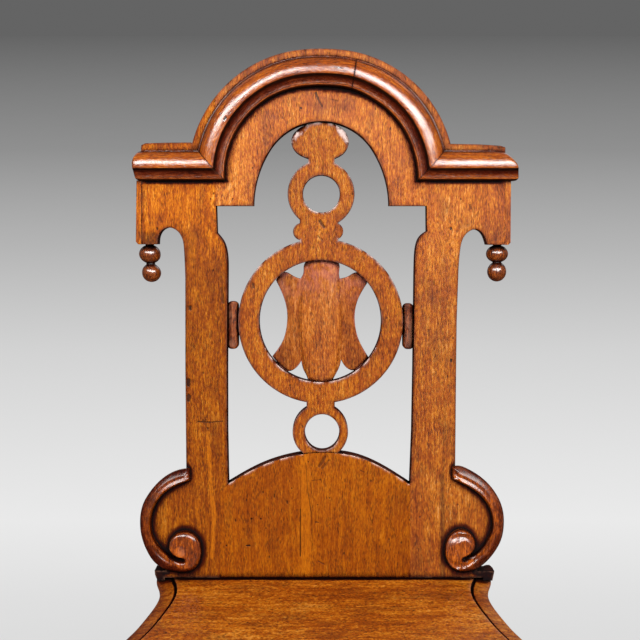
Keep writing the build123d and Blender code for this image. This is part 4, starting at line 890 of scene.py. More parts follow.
SCROLL_OUT = [scr_r, scr_l]


def seat_cut(ob):
    """Trims a back piece level with the seat's top."""
    bm = bmesh.new()
    bm.from_mesh(ob.data)
    geom = bm.verts[:] + bm.edges[:] + bm.faces[:]
    cut = bmesh.ops.bisect_plane(bm, geom=geom, dist=1e-7, plane_co=(0, 0, 0.4501), plane_no=(0, 0, -1), clear_outer=True)
    edges = [e for e in cut["geom_cut"] if isinstance(e, bmesh.types.BMEdge)]
    bmesh.ops.triangle_fill(bm, use_beauty=True, edges=edges)
    bmesh.ops.recalc_face_normals(bm, faces=bm.faces)
    bm.to_mesh(ob.data)
    bm.free()


# painted highlight along the lower boards' top arris
top_arris_highlight = lambda x, s, h: 1.0 if s > 84.0 and abs(x + 2) < 84.5 else 0.0
ob = slab("stave_left", [left], -BT, 0.0, B, gb(0), r=0.9, g=2.5, dirt_shade_fun=board_shadow_dirt, rfun=joint, scroll_shade_halo=(SCROLL_OUT, 0.5, 6.2), wav=0.22, seed=3)
piece(ob, "left_stave", m_left)


def ear_place(x, s, h):
    """The right-hand foot block is rounded at its rear corner."""
    if x > 155.0 and s < 7.5 and h < -14.0:
        k = ((-14.0 - h) / 10.0) ** 2
        x -= 2.6 * k * (x - 155.0) / 8.0
        s += 1.2 * k * max(0.0, min(1.0, (s - 2.0) / 4.0))
    return B(x, s, h)


ob = slab("stave_right", [right], -BT, 0.0, ear_place, gb(0), r=0.9, g=2.5, dirt_shade_fun=board_shadow_dirt, rfun=joint, scroll_shade_halo=(SCROLL_OUT, 0.5, 6.2), wav=0.22, seed=5)
piece(ob, "right_stave", m_right)
ob = slab("crest_board", [crest], -BT, 0.0, B, gb(0), r=0.8, arris=0.55, g=2.5, dirt_shade_fun=board_shadow_dirt, rfun=joint, wav=0.2, seed=8)
piece(ob, "crest_arch", m_crest)
ob = slab("lower_board_left", [low_l], -BT, 0.0, B, gb(0), r=0.6, g=3.0, dirt_shade_fun=board_shadow_dirt, rfun=joint, scroll_shade_halo=(SCROLL_OUT, 0.5, 6.2), edge=0.0, arris=1.0, wear_and_light_fun=top_arris_highlight, wav=0.2, seed=12)
piece(ob, "lower_panel_left", m_low)
ob = slab("lower_board_right", [low_r], -BT, 0.0, B, gb(0), r=0.6, g=3.0, dirt_shade_fun=board_shadow_dirt, rfun=joint, scroll_shade_halo=(SCROLL_OUT, 0.5, 6.2), edge=0.0, arris=1.0, wear_and_light_fun=top_arris_highlight, wav=0.2, seed=14)
piece(ob, "lower_panel_right", m_low)

sl = chain(line((-172.4, 316.3), (-170.2, BLK_L), (-167.0, BLK_L), (-167.0, 373.0), (-171.4, 373.0), (-172.4, 316.3)))
ob = slab("slip_left", [sl], -BT, -0.2, B, gb(40), r=0.5, rb=0.7, g=4.0, wav=0.05, seed=21, edge=0.15, wall=0.3)
piece(ob, "side_slip_left", m_left)
sr = chain(line((175.9, 315.4), (175.9, 373.0), (170.5, 373.0), (170.5, BLK_R), (173.8, BLK_R), (175.9, 315.4)))
ob = slab("slip_right", [sr], -BT, -0.1, B, gb(40), r=0.3, rb=0.7, g=4.0, wav=0.05, seed=22, edge=0.1, wall=0.3)
piece(ob, "side_slip_right", m_right)


# ------------------------------------------------------------------ splat: union of rings and cap worked out on angles
def union_outline():
    """Outer outline of the pierced splat, right side then left side, read upwards and back down."""
    # circles: large ring, small rings, knobs
    RS, RR = (-0.6, 242.0), 77.0
    SS, SR = (-0.2, 360.6), 31.1
    LS, LR = (-0.9, 138.4), 26.0
    pts_r, pts_l = [], []

    def x_at(c, r, s, side):
        return c[0] + side * math.sqrt(max(r * r - (s - c[1]) ** 2, 0.0))

    for side, store, foot, neck2, kn, neck3, capx in (
            (1, pts_r, 13.8, 12.6, (12.4, 326.0, 8.0), 12.4, 12.4), (-1, pts_l, -15.5, -13.8, (-18.2, 325.6, 8.1), -12.2, -12.2)):
        # foot neck up from the lower board, to where it meets the small lower ring
        s_a = LS[1] - math.sqrt(LR ** 2 - (foot - LS[0]) ** 2)
        store += [(foot, 117.6 if side > 0 else 117.4)] if s_a > 117.6 else []
        a0 = math.degrees(math.atan2(max(s_a, 117.5) - LS[1], x_at(LS, LR, max(s_a, 117.5), side) - LS[0]))
        s_b = LS[1] + math.sqrt(LR ** 2 - (neck2 - LS[0]) ** 2)
        a1 = math.degrees(math.atan2(s_b - LS[1], neck2 - LS[0]))
        if side > 0:
            store += arc(LS, LR, a0, a1, 1.5)
        else:
            store += arc(LS, LR, a0 if a0 < 0 else a0 - 360, a1 - 360 if a1 > 0 else a1, 1.5)
        s_c = RS[1] - math.sqrt(RR ** 2 - (neck2 - RS[0]) ** 2)
        store += line((neck2, s_b), (neck2, s_c), step=1.5)[1:]
        a0 = math.degrees(math.atan2(s_c - RS[1], neck2 - RS[0]))
        # large ring up to the knob
        kc, kr = (kn[0], kn[1]), kn[2]
        d = math.hypot(kc[0] - RS[0], kc[1] - RS[1])
        # the knob's lower end meets the filled neck; find where ring and knob circles cross, or the neck edge
        base = 16.0 if side > 0 else -20.0
        s_d = RS[1] + math.sqrt(RR ** 2 - (base - RS[0]) ** 2)
        a1 = math.degrees(math.atan2(s_d - RS[1], base - RS[0]))
        if side > 0:
            store += arc(RS, RR, a0, a1, 2.0)
        else:
            store += arc(RS, RR, a0, a1 - 360 if a1 > 0 else a1, 2.0)
        # knob circle from the neck edge round to the neck edge
        dx = base - kc[0]
        k_lo = kc[1] - math.sqrt(max(kr ** 2 - dx ** 2, 0))
        k_hi = kc[1] + math.sqrt(max(kr ** 2 - dx ** 2, 0))
        b0 = math.degrees(math.atan2(k_lo - kc[1], dx))
        b1 = math.degrees(math.atan2(k_hi - kc[1], dx))
        store += line((base, s_d), (base, k_lo), step=2.0)[1:]
        if side > 0:
            store += arc(kc, kr, b0, b1, 1.2)
        else:
            store += arc(kc, kr, b0, b1 - 360 if b1 > 0 else b1, 1.2)
        # up the neck to the small ring
        s_e = SS[1] - math.sqrt(SR ** 2 - (base - SS[0]) ** 2)
        if s_e > k_hi:
            store += line((base, k_hi), (base, s_e), step=2.0)[1:]
        a0 = math.degrees(math.atan2(s_e - SS[1], base - SS[0]))
        s_f = SS[1] + math.sqrt(SR ** 2 - (neck3 - SS[0]) ** 2)
        a1 = math.degrees(math.atan2(s_f - SS[1], neck3 - SS[0]))
        if side > 0:
            store += arc(SS, SR, a0, a1, 1.5)
        else:
            store += arc(SS, SR, a0, a1 - 360 if a1 > 0 else a1, 1.5)
        store += line((neck3, s_f), (capx, 393.4), step=1.5)[1:]
    cap = spline([(12.4, 393.4), (20.6, 398.0), (25.6, 408.5), (23.6, 416.5), (18.6, 422.0), (0.0, 426.9), (-20.0, 422.0), (-25.6, 416.5),
                  (-27.8, 407.5), (-22.0, 398.0), (-12.2, 393.4)], step=1.2)
    return chain(pts_r, cap, list(reversed(pts_l)))


splat_loop = union_outline()
SPF = -1.5


def cap_bevel(x, s):
    if s < 404:
        return 1.0 if s > 118.2 else 0.12
    k = min(1.0, (s - 404) / 6.0)
    return 1.0 + k * (1.5 + 4.4 * math.exp(-((abs(x) - 21.0) / 7.0) ** 2))


def splat_highlight(x, s, h):
    """Painted highlight, most on the bevel of the cap and on the arrises that look up."""
    if s > 408:
        return 1.0 if abs(x) > 12 else 0.3
    for cx, cs, rr, up, k in ((-0.9, 242.0, 57.0, -1, 0.85), (-0.6, 242.0, 77.0, 1, 0.6), (0.1, 360.6, 17.2, -1, 0.9), (-0.2, 360.6, 31.1, 1, 0.5),
                              (0.8, 137.7, 16.7, -1, 0.6)):
        r = math.hypot(x - cx, s - cs)
        if abs(r - rr) < 2.6:
            return max(0.12, k * min(1.0, max(0.0, (up * (s - cs) / r - 0.15) / 0.45)))
    return 0.12


low_hole = [(0.8 + 16.2 * math.cos(a * math.pi / 36), 137.7 + 17.1 * math.sin(a * math.pi / 36)) for a in range(72)]
ob = slab("splat_board", [splat_loop, circle((0.1, 360.6), 17.2, 72), circle((-0.9, 242.0), 57.0, 160), low_hole],
          SPF - 17.0, SPF, B, gb(0), r=0.9, g=3.0, wav=0.2, seed=31, rfun=cap_bevel, arris=1.0,
          wear_and_light_fun=splat_highlight)
piece(ob, "splat", m_splat)

# ------------------------------------------------------------------ cartouche
cart = chain(
    spline([(-12.8, 300.4), (-16.4, 293.5), (-16.8, 287.0), (-19.5, 281.5)], 1.2),
    spline([(-19.5, 281.5), (-25.0, 283.4), (-30.3, 286.6), (-34.4, 287.8), (-39.8, 284.4), (-42.6, 280.2)], 1.2),
    spline([(-42.6, 280.2), (-35.3, 264.2), (-32.2, 251.0), (-32.6, 236.7), (-36.6, 222.3), (-46.0, 208.4)], 1.2),
    spline([(-46.0, 208.4), (-39.5, 200.0), (-32.0, 194.4), (-24.5, 197.0), (-18.7, 204.2)], 1.2),
    spline([(-18.7, 204.2), (-16.8, 196.0), (-13.5, 189.5), (-12.4, 183.6)], 1.2),
    line((-12.4, 183.6), (9.6, 183.6), step=1.5),
    spline([(9.6, 183.6), (12.6, 190.0), (16.4, 197.0), (18.7, 205.2)], 1.2),
    spline([(18.7, 205.2), (23.5, 198.0), (30.6, 195.2), (38.0, 200.0), (44.4, 207.6)], 1.2),
    spline([(44.4, 207.6), (35.6, 223.4), (31.7, 239.0), (31.7, 251.0), (34.4, 261.8), (43.2, 277.6)], 1.2),
    spline([(43.2, 277.6), (39.4, 284.0), (32.6, 287.4), (25.4, 283.8), (17.4, 281.5)], 1.2),
    spline([(17.4, 281.5), (16.6, 287.0), (17.2, 293.5), (14.2, 300.4)], 1.2),
    line((14.2, 300.4), (-12.8, 300.4), step=1.5))


def cart_h(x, s, d):
    half = 18.5 - 5.5 * ((s - 246.0) / 55.0) ** 2
    u = (x + 0.6) / half
    mid = -6.5 - 2.2 * min(u * u, 1.0)
    wing = -10.2 - 0.05 * abs(abs(x) - half)
    t = min(1.0, max(0.0, (abs(u) - 1.0) * half / 1.6))
    h = mid * (1 - t) + wing * t
    e = min(1.0, d / 1.1)
    return h - 1.0 * (1 - math.sqrt(max(0.0, 1 - (1 - e) ** 2)))


# The outline is worn pale and the upper part gets a painted sheen; the wings, set back from the raised middle, are
# darkened with painted shade, most along the step.
def cart_sheen_shade(x, s, d):
    u = abs(x + 0.6) / (18.5 - 5.5 * ((s - 246.0) / 55.0) ** 2)
    out = fade(s, 262.0, 250.0)
    dirt_and_shade = max(0.22 * fade(1.0 - u, -0.06, 0.05) * (1.0 - 0.4 * out), 0.28 * fade(abs(u - 1.0), 0.01, 0.10) if u > 0.95 else 0.0)
    return (0.8 if d < 0.9 else 0.6 * (1.0 - fade(s, 255.0, 290.0)), dirt_and_shade)


ob = relief("cartouche_carved", [cart], -18.0, cart_h, B, gb(0, 3), insets=(0.2, 0.6, 1.2), g=1.9, seed=41, wear_and_light_fun=cart_sheen_shade)
piece(ob, "cartouche", m_cart)


# ------------------------------------------------------------------ lugs
def lug(name, node, xa, xb, s0, s1):
    w = xb - xa
    k = w * 0.40
    lp = chain(arc((xb - k, s1 - k), k, 0, 90, 0.7), arc((xa + k, s1 - k), k, 90, 180, 0.7), arc((xa + k, s0 + k), k, 180, 270, 0.7),
               arc((xb - k, s0 + k), k, 270, 360, 0.7))
    xm = (xa + xb) / 2

    def hf(x, s, d):
        u = (x - xm) / (w / 2)
        return -4.2 - 3.4 * (1 - math.sqrt(max(0.0, 1 - min(1, abs(u)) ** 2.2))) - 0.9 * max(0.0, 1 - d / 1.4) ** 2

    ob = relief(name, [lp], -17.0, hf, B, gb(0), insets=(0.3, 0.8, 1.5, 2.3), g=1.2, seed=51,
                wear_and_light_fun=lambda x, s, d: (0.5 if 2.0 < d else 0.0, 0.42 * fade(-abs(x), -abs(xm) - 2.2, -abs(xm) + 0.6)))
    piece(ob, node, m_lug)


lug("lug_l", "lug_left", -88.3, -77.4, 216.0, 260.4)
lug("lug_r", "lug_right", 76.2, 86.8, 215.8, 258.4)

# ------------------------------------------------------------------ crest mouldings
def arc3(p, q, r, k):
    """Arc through three points, k steps."""
    ax, ay = p
    bx, by = q
    cx, cy = r
    d = 2 * (ax * (by - cy) + bx * (cy - ay) + cx * (ay - by))
    ux = ((ax * ax + ay * ay) * (by - cy) + (bx * bx + by * by) * (cy - ay) + (cx * cx + cy * cy) * (ay - by)) / d
    uy = ((ax * ax + ay * ay) * (cx - bx) + (bx * bx + by * by) * (ax - cx) + (cx * cx + cy * cy) * (bx - ax)) / d
    a0, a1, a2 = (math.atan2(v[1] - uy, v[0] - ux) for v in (p, q, r))
    rr = math.hypot(ax - ux, ay - uy)
    two = 2 * math.pi
    ccw = (a2 - a0) % two
    if (a1 - a0) % two > ccw:
        ccw -= two
    return [(ux + rr * math.cos(a0 + ccw * i / k), uy + rr * math.sin(a0 + ccw * i / k)) for i in range(k + 1)]


# Section points with (wear, darkening): the darkening in the quirk over the torus, the hollow under it and under the
# lip is painted shade.
sec = [(0.0, 0.0), (0.0, 2.2), (0.3, 2.8), (1.0, 3.0)]
sec_w = [(0.0, 0.3), (0.0, 0.3), (0.2, 0.3), (0.0, 0.6)]
sec += arc3((1.2, 3.1), (6.6, 10.4), (16.0, 12.5), 18)
sec_w += [(0.0, 0.7), (0.0, 0.5), (0.0, 0.35), (0.0, 0.2), (0.0, 0.1)] + [(0.04, 0.0)] * 12 + [(0.3, 0.0), (0.4, 0.1)]
sec += [(16.5, 12.3), (16.8, 11.9), (17.2, 10.9)]
sec_w += [(0.2, 0.3), (0.0, 0.8), (0.0, 1.0)]
sec += arc3((17.5, 10.4), (20.2, 7.1), (24.4, 5.9), 9)
sec_w += [(0.0, 1.0), (0.0, 0.9), (0.0, 0.75), (0.0, 0.62), (0.0, 0.54), (0.0, 0.48), (0.0, 0.44), (0.0, 0.40), (0.0, 0.32), (0.0, 0.2)]
sec += [(24.8, 6.2), (25.2, 6.55), (25.7, 6.5), (26.2, 6.2), (26.8, 5.1), (27.3, 4.0), (27.5, 3.2)]
sec_w += [(0.0, 0.12), (0.45, 0.05), (0.45, 0.1), (0.1, 0.4), (0.0, 0.75), (0.0, 1.0), (0.0, 1.0)]
nt = len(sec)
sec += [(d, 0.0) for d, h in reversed(sec[1:])]
sec_w += [(0.0, 0.5)] * (nt - 1)

r_m = ARCH_R - 7.0
r_mt = top_r - 7.0
MT = 400.5


def a_mitre(d):
    return math.degrees(math.asin((MT - d - ARCH_CS) / (r_m - d)))


def wob(i, amp, seed):
    return amp * noise.noise(Vector((i * 0.23 + seed, seed * 1.7, 0.3)))


def arch_moulding(name, node, stations, seed, seam):
    def at(i, d, h):
        kind, t = stations[i]
        if seed == 1.0:      # the right one is a little wider
            d *= 1.0 + 0.05 * min(1.0, (t - 11.5) / 16.0, (76.5 - t) / 12.0)
        k = 0.25 * noise.noise(Vector((i * 0.11 + seed, 0.5, seed)))
        hh = h + (k if h > 2 else 0.0)
        if kind == "r0":     # right, from the mitre
            a0 = a_mitre(d)
            a = a0 + (t - 11.5) / (90 - T6 - 11.5) * (90 - T6 - a0)
            return (*pol(rc, r_m - d, a), hh)
        if kind == "l0":
            a0 = a_mitre(d)
            a = a0 + (t - 11.5) / (90 - T6 - 11.5) * (90 - T6 - a0)
            x, s = pol(rc, r_m - d, a)
            return (-x, s, hh)
        return (*pol(top_c, r_mt - d, t), hh)

    v, f, w = sweep(name, len(stations), sec, at, B, None, sec_w, pairs=nt, seam=seam)
    n = len(sec)
    run = []
    acc = 0.0
    for i in range(len(stations)):
        if i:
            p, q = v[(i - 1) * n + 8], v[i * n + 8]
            acc += math.dist(p, q)
        run.append(acc)
    grain = {}
    for i in range(len(stations)):
        for j in range(n):
            grain[tuple(v[i * n + j])] = (sec[j][0] + 30 * seed, sec[j][1], run[i] + 100 * seed)  # along the arch
    ob = finish_mesh(name, v, f, None, w, B, lambda x, s, h: grain[(x, s, h)], sharp=0.55)
    piece(ob, node, m_mould)


SPLIT = 76.5
st = [("r0", a) for a in (11.5, 11.7, 12.1)] + [("r0", 12.1 + (SPLIT - 0.10 - 12.1) * i / 60) for i in range(1, 59)]
st += [("r0", a) for a in (SPLIT - 0.9, SPLIT - 0.35, SPLIT - 0.10)]
arch_moulding("arch_mould_right", "moulding_arch_right", st, 1.0, {0: (0.0, 1.0), 1: (0.0, 0.4), len(st) - 2: (0.0, 0.3), len(st) - 1: (0.0, 1.0)})
st = ([("r0", SPLIT + 0.12), ("r0", SPLIT + 0.4)] + [("r0", SPLIT + 0.12 + (90 - T6 - SPLIT - 0.12) * i / 8) for i in range(1, 9)]
      + [("t", 90 - T6 + 2 * T6 * i / 14) for i in range(1, 15)]
      + [("l0", 90 - T6 - (90 - T6 - 12.1) * i / 66) for i in range(1, 67)] + [("l0", 11.7), ("l0", 11.5)])
arch_moulding("arch_mould_left", "moulding_arch_left", st, 2.0, {0: (0.0, 1.0), 1: (0.0, 0.3), len(st) - 2: (0.0, 0.4), len(st) - 1: (0.0, 1.0)})


def inner_x(d):
    return ARCH_CX + math.sqrt((r_m - d) ** 2 - (MT - d - ARCH_CS) ** 2)


END_R = spline([(160.0, 400.5), (168.5, 398.8), (173.5, 395.2), (177.6, 391.4), (180.4, 387.2), (181.8, 382.6), (182.3, 377.5), (182.2, 375.2),
                (180.6, 373.0)], 0.8)
END_L = spline([(163.5, 400.5), (168.8, 399.4), (172.2, 395.6), (173.8, 391.4), (174.1, 386.4), (173.5, 381.0), (172.6, 377.0), (171.6, 374.6),
                (169.6, 373.0)], 0.8)


def end_x(curve, s):
    ss = [q[1] for q in curve][::-1]
    return float(np.interp(s, ss, [q[0] for q in curve][::-1]))


def straight_moulding(name, node, side, curve, seed):
    runs = [0.0, 0.006] + [i / 26 for i in range(1, 26)]
    eases = [3.2, 2.2, 1.4, 0.8, 0.35, 0.0]

    def at(i, d, h):
        x0 = inner_x(d) + 0.12
        xe = end_x(curve, MT - d)
        drop = 0.0
        if i < len(runs):
            x = x0 + (xe - 4.0 - x0) * runs[i]
        else:
            e = eases[i - len(runs)]
            x = xe - e
            drop = 1.9 * (1 - math.sqrt(max(0.0, 1 - (1 - e / 3.2) ** 2)))
        q = 0.35 * noise.noise(Vector((x * 0.03 + seed, seed, 0.0)))
        ease = min(1.0, (x - x0) / 20.0, (xe - x) / 20.0)
        return (side * x, MT - d + q * ease * (1 if 3 < d < 27 else 0), max(0.0, h + (0.3 * q * ease if h > 3 else 0) - (drop if h > 0 else 0)))

    v, f, w = sweep(name, len(runs) + len(eases), sec, at, B, None, sec_w, pairs=nt, seam={0: (0.0, 1.0), 1: (0.35, 0.2)})
    ob = finish_mesh(name, v, f, None, w, B, lambda x, s, h: (s + 50 * seed, h, x + 70 * seed), sharp=0.55)
    piece(ob, node, m_mould)


straight_moulding("mould_right", "moulding_right", 1, END_R, 3.0)
straight_moulding("mould_left", "moulding_left", -1, END_L, 4.0)


def end_block(name, node, side, xe, curve, seed):
    """Plain rounded block that carries the moulding's end back over the board's thickness."""
    run = [q for q in curve if q[0] > xe + 0.05]
    s_hi = np.interp(xe, [q[0] for q in curve[:12]], [q[1] for q in curve[:12]])
    s_lo = 373.0
    pts = [(xe, float(s_hi))] + run + ([(xe, s_lo)] if run[-1][0] > xe + 0.3 else [])
    ob = slab(name, [[(side * x, s) for x, s in pts]], -BT, -0.05, B, lambda x, s, h: (s + 50 * seed, x, h + 70 * seed), r=0.25, rb=0.9, g=3.0,
              wav=0.0, seed=int(seed), wall=0.35, edge=0.3)
    piece(ob, node, m_mould)


end_block("mould_return_right", "moulding_return_right", 1, 170.5, END_R, 5.0)
end_block("mould_return_left", "moulding_return_left", -1, 167.0, END_L, 6.0)


# ------------------------------------------------------------------ pendants
def pendant(name, node, x, s_top, r1, r2, dx, c1, h1, c2, h2, seed):
    prof = [(0.0, c2 - h2, (0.0, 0.2))]
    mid = (c1 - h1 + c2 + h2) / 2
    low = [(r2 * math.cos(math.radians(a)), c2 + h2 * math.sin(math.radians(a))) for a in range(-84, 85, 6)]
    up = [(r1 * math.cos(math.radians(a)), c1 + h1 * math.sin(math.radians(a))) for a in range(-84, 85, 6)]
    # the balls darken towards the block above and the neck between them: old grime and painted shade where they tuck
    # under
    prof += [(rr, z, (0.1, 0.8 * max(0.0, (z - c2) / h2) ** 2.5)) for rr, z in low if z < mid - 0.2 and (rr > 4.0 or z < c2)]
    prof += [(4.1, mid, (0.0, 1.0))]
    prof += [(rr, z, (0.1, 0.75 * max(0.0, (z - c1) / h1) ** 2 + 0.6 * max(0.0, (c1 - z) / h1) ** 4)) for rr, z in up if z > mid + 0.2 and (rr > 4.0)]
    prof += [(4.0, min(s_top - 0.1, c1 + h1 * 0.93), (0.0, 1.0)), (4.0, s_top + 1.5, (0.0, 1.0)), (0.0, s_top + 1.5, (0.0, 1.0))]
    clean = [prof[0]]
    for q in prof[1:]:
        if math.hypot(q[0] - clean[-1][0], q[1] - clean[-1][1]) > 0.05:
            clean.append(q)
    v, f, w = turned(clean, 48)

    def place(u, vv, z):
        t = min(1.0, max(0.0, (c1 - z) / (c1 - c2)))
        return B(x + u + dx * t, z, -12.0 + vv)

    ob = finish_mesh(name, v, f, None, w, place, lambda u, vv, z: (u + 60 * seed, vv, z), sharp=0.9)
    piece(ob, node, m_pend)


pendant("pendant_l", "pendant_left", -160.7, BLK_L, 10.1, 8.9, 1.6, 304.6, 8.9, 287.1, 8.7, 1.0)
pendant("pendant_r", "pendant_right", 164.7, BLK_R, 10.3, 8.9, -0.2, 304.9, 8.3, 288.2, 9.3, 2.0)

# ------------------------------------------------------------------ scrolls
def round_over(d, r):
    e = min(1.0, d / r)
    return math.sqrt(max(0.0, 1 - (1 - e) ** 2))


def along(x, s, path):
    """Distance to an open path."""
    best = 1e9
    for (ax, ay), (bx, by) in zip(path, path[1:]):
        ux, uy = bx - ax, by - ay
        t = min(1.0, max(0.0, ((x - ax) * ux + (s - ay) * uy) / (ux * ux + uy * uy)))
        best = min(best, math.hypot(x - ax - t * ux, s - ay - t * uy))
    return best


SLOT_R = spline([(149.2, 33.0), (144.8, 27.0), (139.6, 22.2), (133.8, 19.2)], 1.0)
SLOT_L = spline([(-144.4, 26.4), (-140.0, 22.0), (-135.4, 19.3), (-129.8, 18.2)], 1.0)


def band_h(d, rr, wide, mid):
    """Height of a band whose ridge is nearer its inner edge; d from the nearer edge."""
    inner = fade(rr, mid - 2.0, mid + 2.0)
    u = min(1.0, max(0.0, inner * d / wide + (1.0 - inner) * (1.0 - d / wide)))
    if u < 0.22:
        f = math.sqrt(max(0.0, 1 - (1 - u / 0.22) ** 2))
    else:
        t = (u - 0.22) / 0.78
        f = 1.0 - (0.46 * t + 0.29 * t * t)
    return 3.0 + 5.8 * f * (0.45 + 0.55 * round_over(d, 2.2))


def scroll_r_h(x, s, d):
    h = 3.2 + 5.6 * round_over(d, 6.0)
    k = max(fade(-x, -146.0, -130.0), fade(-s, -66.0, -56.0))
    h += k * (band_h(d, math.hypot(x - 120.2, s - 54.9), 11.0, 42.4) - h)
    e = math.hypot(x - 130.2, s - 27.2)
    if e < 17.0:
        dome = 3.0 + 6.0 * math.sqrt(max(0.0, 1 - (e / 15.4) ** 2))
        t = min(1.0, max(0.0, (17.0 - e) / 4.0))
        h = min(h, h * (1 - t) + (dome + 0.6) * t)
    return h - 4.2 * fade(along(x, s, SLOT_R), 0.2, 2.6)


def scroll_l_h(x, s, d):
    h = 3.2 + 5.6 * round_over(d, 5.6)
    k = max(fade(x, -146.0, -130.0), fade(-s, -66.0, -56.0))
    h += k * (band_h(d, math.hypot(x + 122.6, s - 54.9), 10.4, 42.2) - h)
    e = math.hypot(x + 127.6, s - 26.6)
    if e < 12:
        h = min(h, 8.6 - 0.25 * max(0.0, 7.0 - e) / 7.0)
    h += 0.5 * fade(math.hypot(x + 132.6, s - 26.3), 5.0, 6.2)
    return h - 4.6 * fade(along(x, s, SLOT_L), 0.3, 2.8)


def scroll_r_w(x, s, d):
    slot = fade(along(x, s, SLOT_R), 1.2, 3.0)
    eye = math.hypot(x - 130.2, s - 27.2) < 17.0
    rr = math.hypot(x - 120.2, s - 54.9)
    band = 0.0 if eye else 0.06 + 0.36 * fade(-rr, -48.0, -42.0)
    return (0.25 if 0.8 < d < 2.2 and not slot else 0.0, max(slot, 0.8 * fade(d, 0.2, 1.4), band, 0.06 if eye else 0.0))


# the paler centre of the left eye's boss is a painted highlight
def scroll_l_w(x, s, d):
    slot = fade(along(x, s, SLOT_L), 1.4, 3.2)
    eye = math.hypot(x + 127.0, s - 27.6) < 16.5
    rr = math.hypot(x + 122.6, s - 54.9)
    band = 0.0 if eye else 0.10 + 0.46 * fade(-rr, -48.0, -38.5)
    boss = math.hypot(x + 132.6, s - 26.3)
    return (0.5 if boss < 4.6 else (0.4 if 0.8 < d < 2.0 and not slot and eye else 0.0),
            max(slot, 0.8 * fade(d, 0.2, 1.4), band, 0.35 * fade(abs(boss - 6.0), 0.2, 1.4) if eye else 0.0, 0.12 if eye and boss > 6 else 0.0))


ob = relief("scroll_r", [scr_r], 0.0, scroll_r_h, B, gb(0), insets=(0.15, 0.4, 0.8, 1.4, 2.2, 3.2), g=1.15, seed=61, wear_and_light_fun=scroll_r_w)
piece(ob, "scroll_right", m_scroll)
ob = relief("scroll_l", [scr_l], 0.0, scroll_l_h, B, gb(0), insets=(0.15, 0.4, 0.8, 1.4, 2.2, 3.2), g=1.15, seed=62, wear_and_light_fun=scroll_l_w)
piece(ob, "scroll_left", m_scroll)

# ------------------------------------------------------------------ seat
half = [(158.6, 29.0), (158.6, 15.0), (157.4, 0.0), (153.7, -16.0), (151.6, -29.0), (151.2, -41.0), (152.1, -52.0), (155.2, -72.0),
        (159.2, -92.3), (164.0, -113.7), (170.2, -135.0), (182.6, -180.0), (195.0, -230.0), (204.5, -280.0), (209.3, -318.0), (208.0, -342.0),
        (198.0, -358.0), (178.0, -366.5), (140.0, -370.5), (80.0, -375.0), (0.0, -379.0)]


def seat_loop(inset):
    pts = []
    for i, (x, y) in enumerate(half):
        if i == 0:
            pts.append((x - inset, y))
        elif i == len(half) - 1:
            pts.append((0.0, y + inset))
        else:
            tx, ty = half[i + 1][0] - half[i - 1][0], half[i + 1][1] - half[i - 1][1]
            n = math.hypot(tx, ty)
            pts.append((x + inset * ty / n, y - inset * tx / n))
    side = spline(pts, t0=(0.0, -1.0), t1=(-1.0, 0.0), count=190)
    other = [(-x, y) for x, y in reversed(side)][1:]
    rear = line((other[-1][0], other[-1][1]), (side[0][0], side[0][1]), step=1e9)
    xs = np.linspace(other[-1][0], side[0][0], 40)[1:-1]
    return side + other + [(float(x), 29.0) for x in xs]


prof_seat = [(6.0, 424.0, (0.0, 0.5)), (5.4, 424.3, (0.5, 0.2)), (4.9, 426.0, (0.3, 0.1)), (4.0, 433.0, (0.0, 0.1)), (2.6, 437.6, (0.0, 0.1)),
             (1.0, 441.6, (0.1, 0.0)), (0.2, 443.2, (0.3, 0.0)), (0.0, 444.0, (0.5, 0.0)), (0.15, 445.0, (0.5, 0.0)), (0.8, 445.9, (0.4, 0.0)),
             (1.9, 446.4, (0.2, 0.0)), (3.4, 446.7, (0.1, 0.0)), (7.0, 447.3, (0.0, 0.0)), (11.0, 447.9, (0.0, 0.0)), (12.8, 448.1, (0.0, 0.15)),
             (13.7, 448.0, (0.0, 0.85)), (14.1, 447.2, (0.0, 1.0)), (14.6, 446.4, (0.0, 1.0)), (15.2, 446.4, (0.0, 1.0)), (15.6, 447.4, (0.0, 1.0)),
             (15.9, 449.0, (0.1, 0.95)), (16.3, 449.8, (1.0, 0.2)), (17.0, 450.0, (0.8, 0.0)), (18.2, 450.0, (0.3, 0.0)), (20.4, 450.0, (0.0, 0.0))]
bm = bmesh.new()
lw = bm.verts.layers.float.new("wear_and_sheen")
ld = bm.verts.layers.float.new("dirt_and_shade")
lg = bm.verts.layers.float_vector.new("grain")


def sv(x, y, z, we):
    v = bm.verts.new(W(x, y, z))
    v[lw], v[ld] = we
    v[lg] = (y, z, x)
    return v


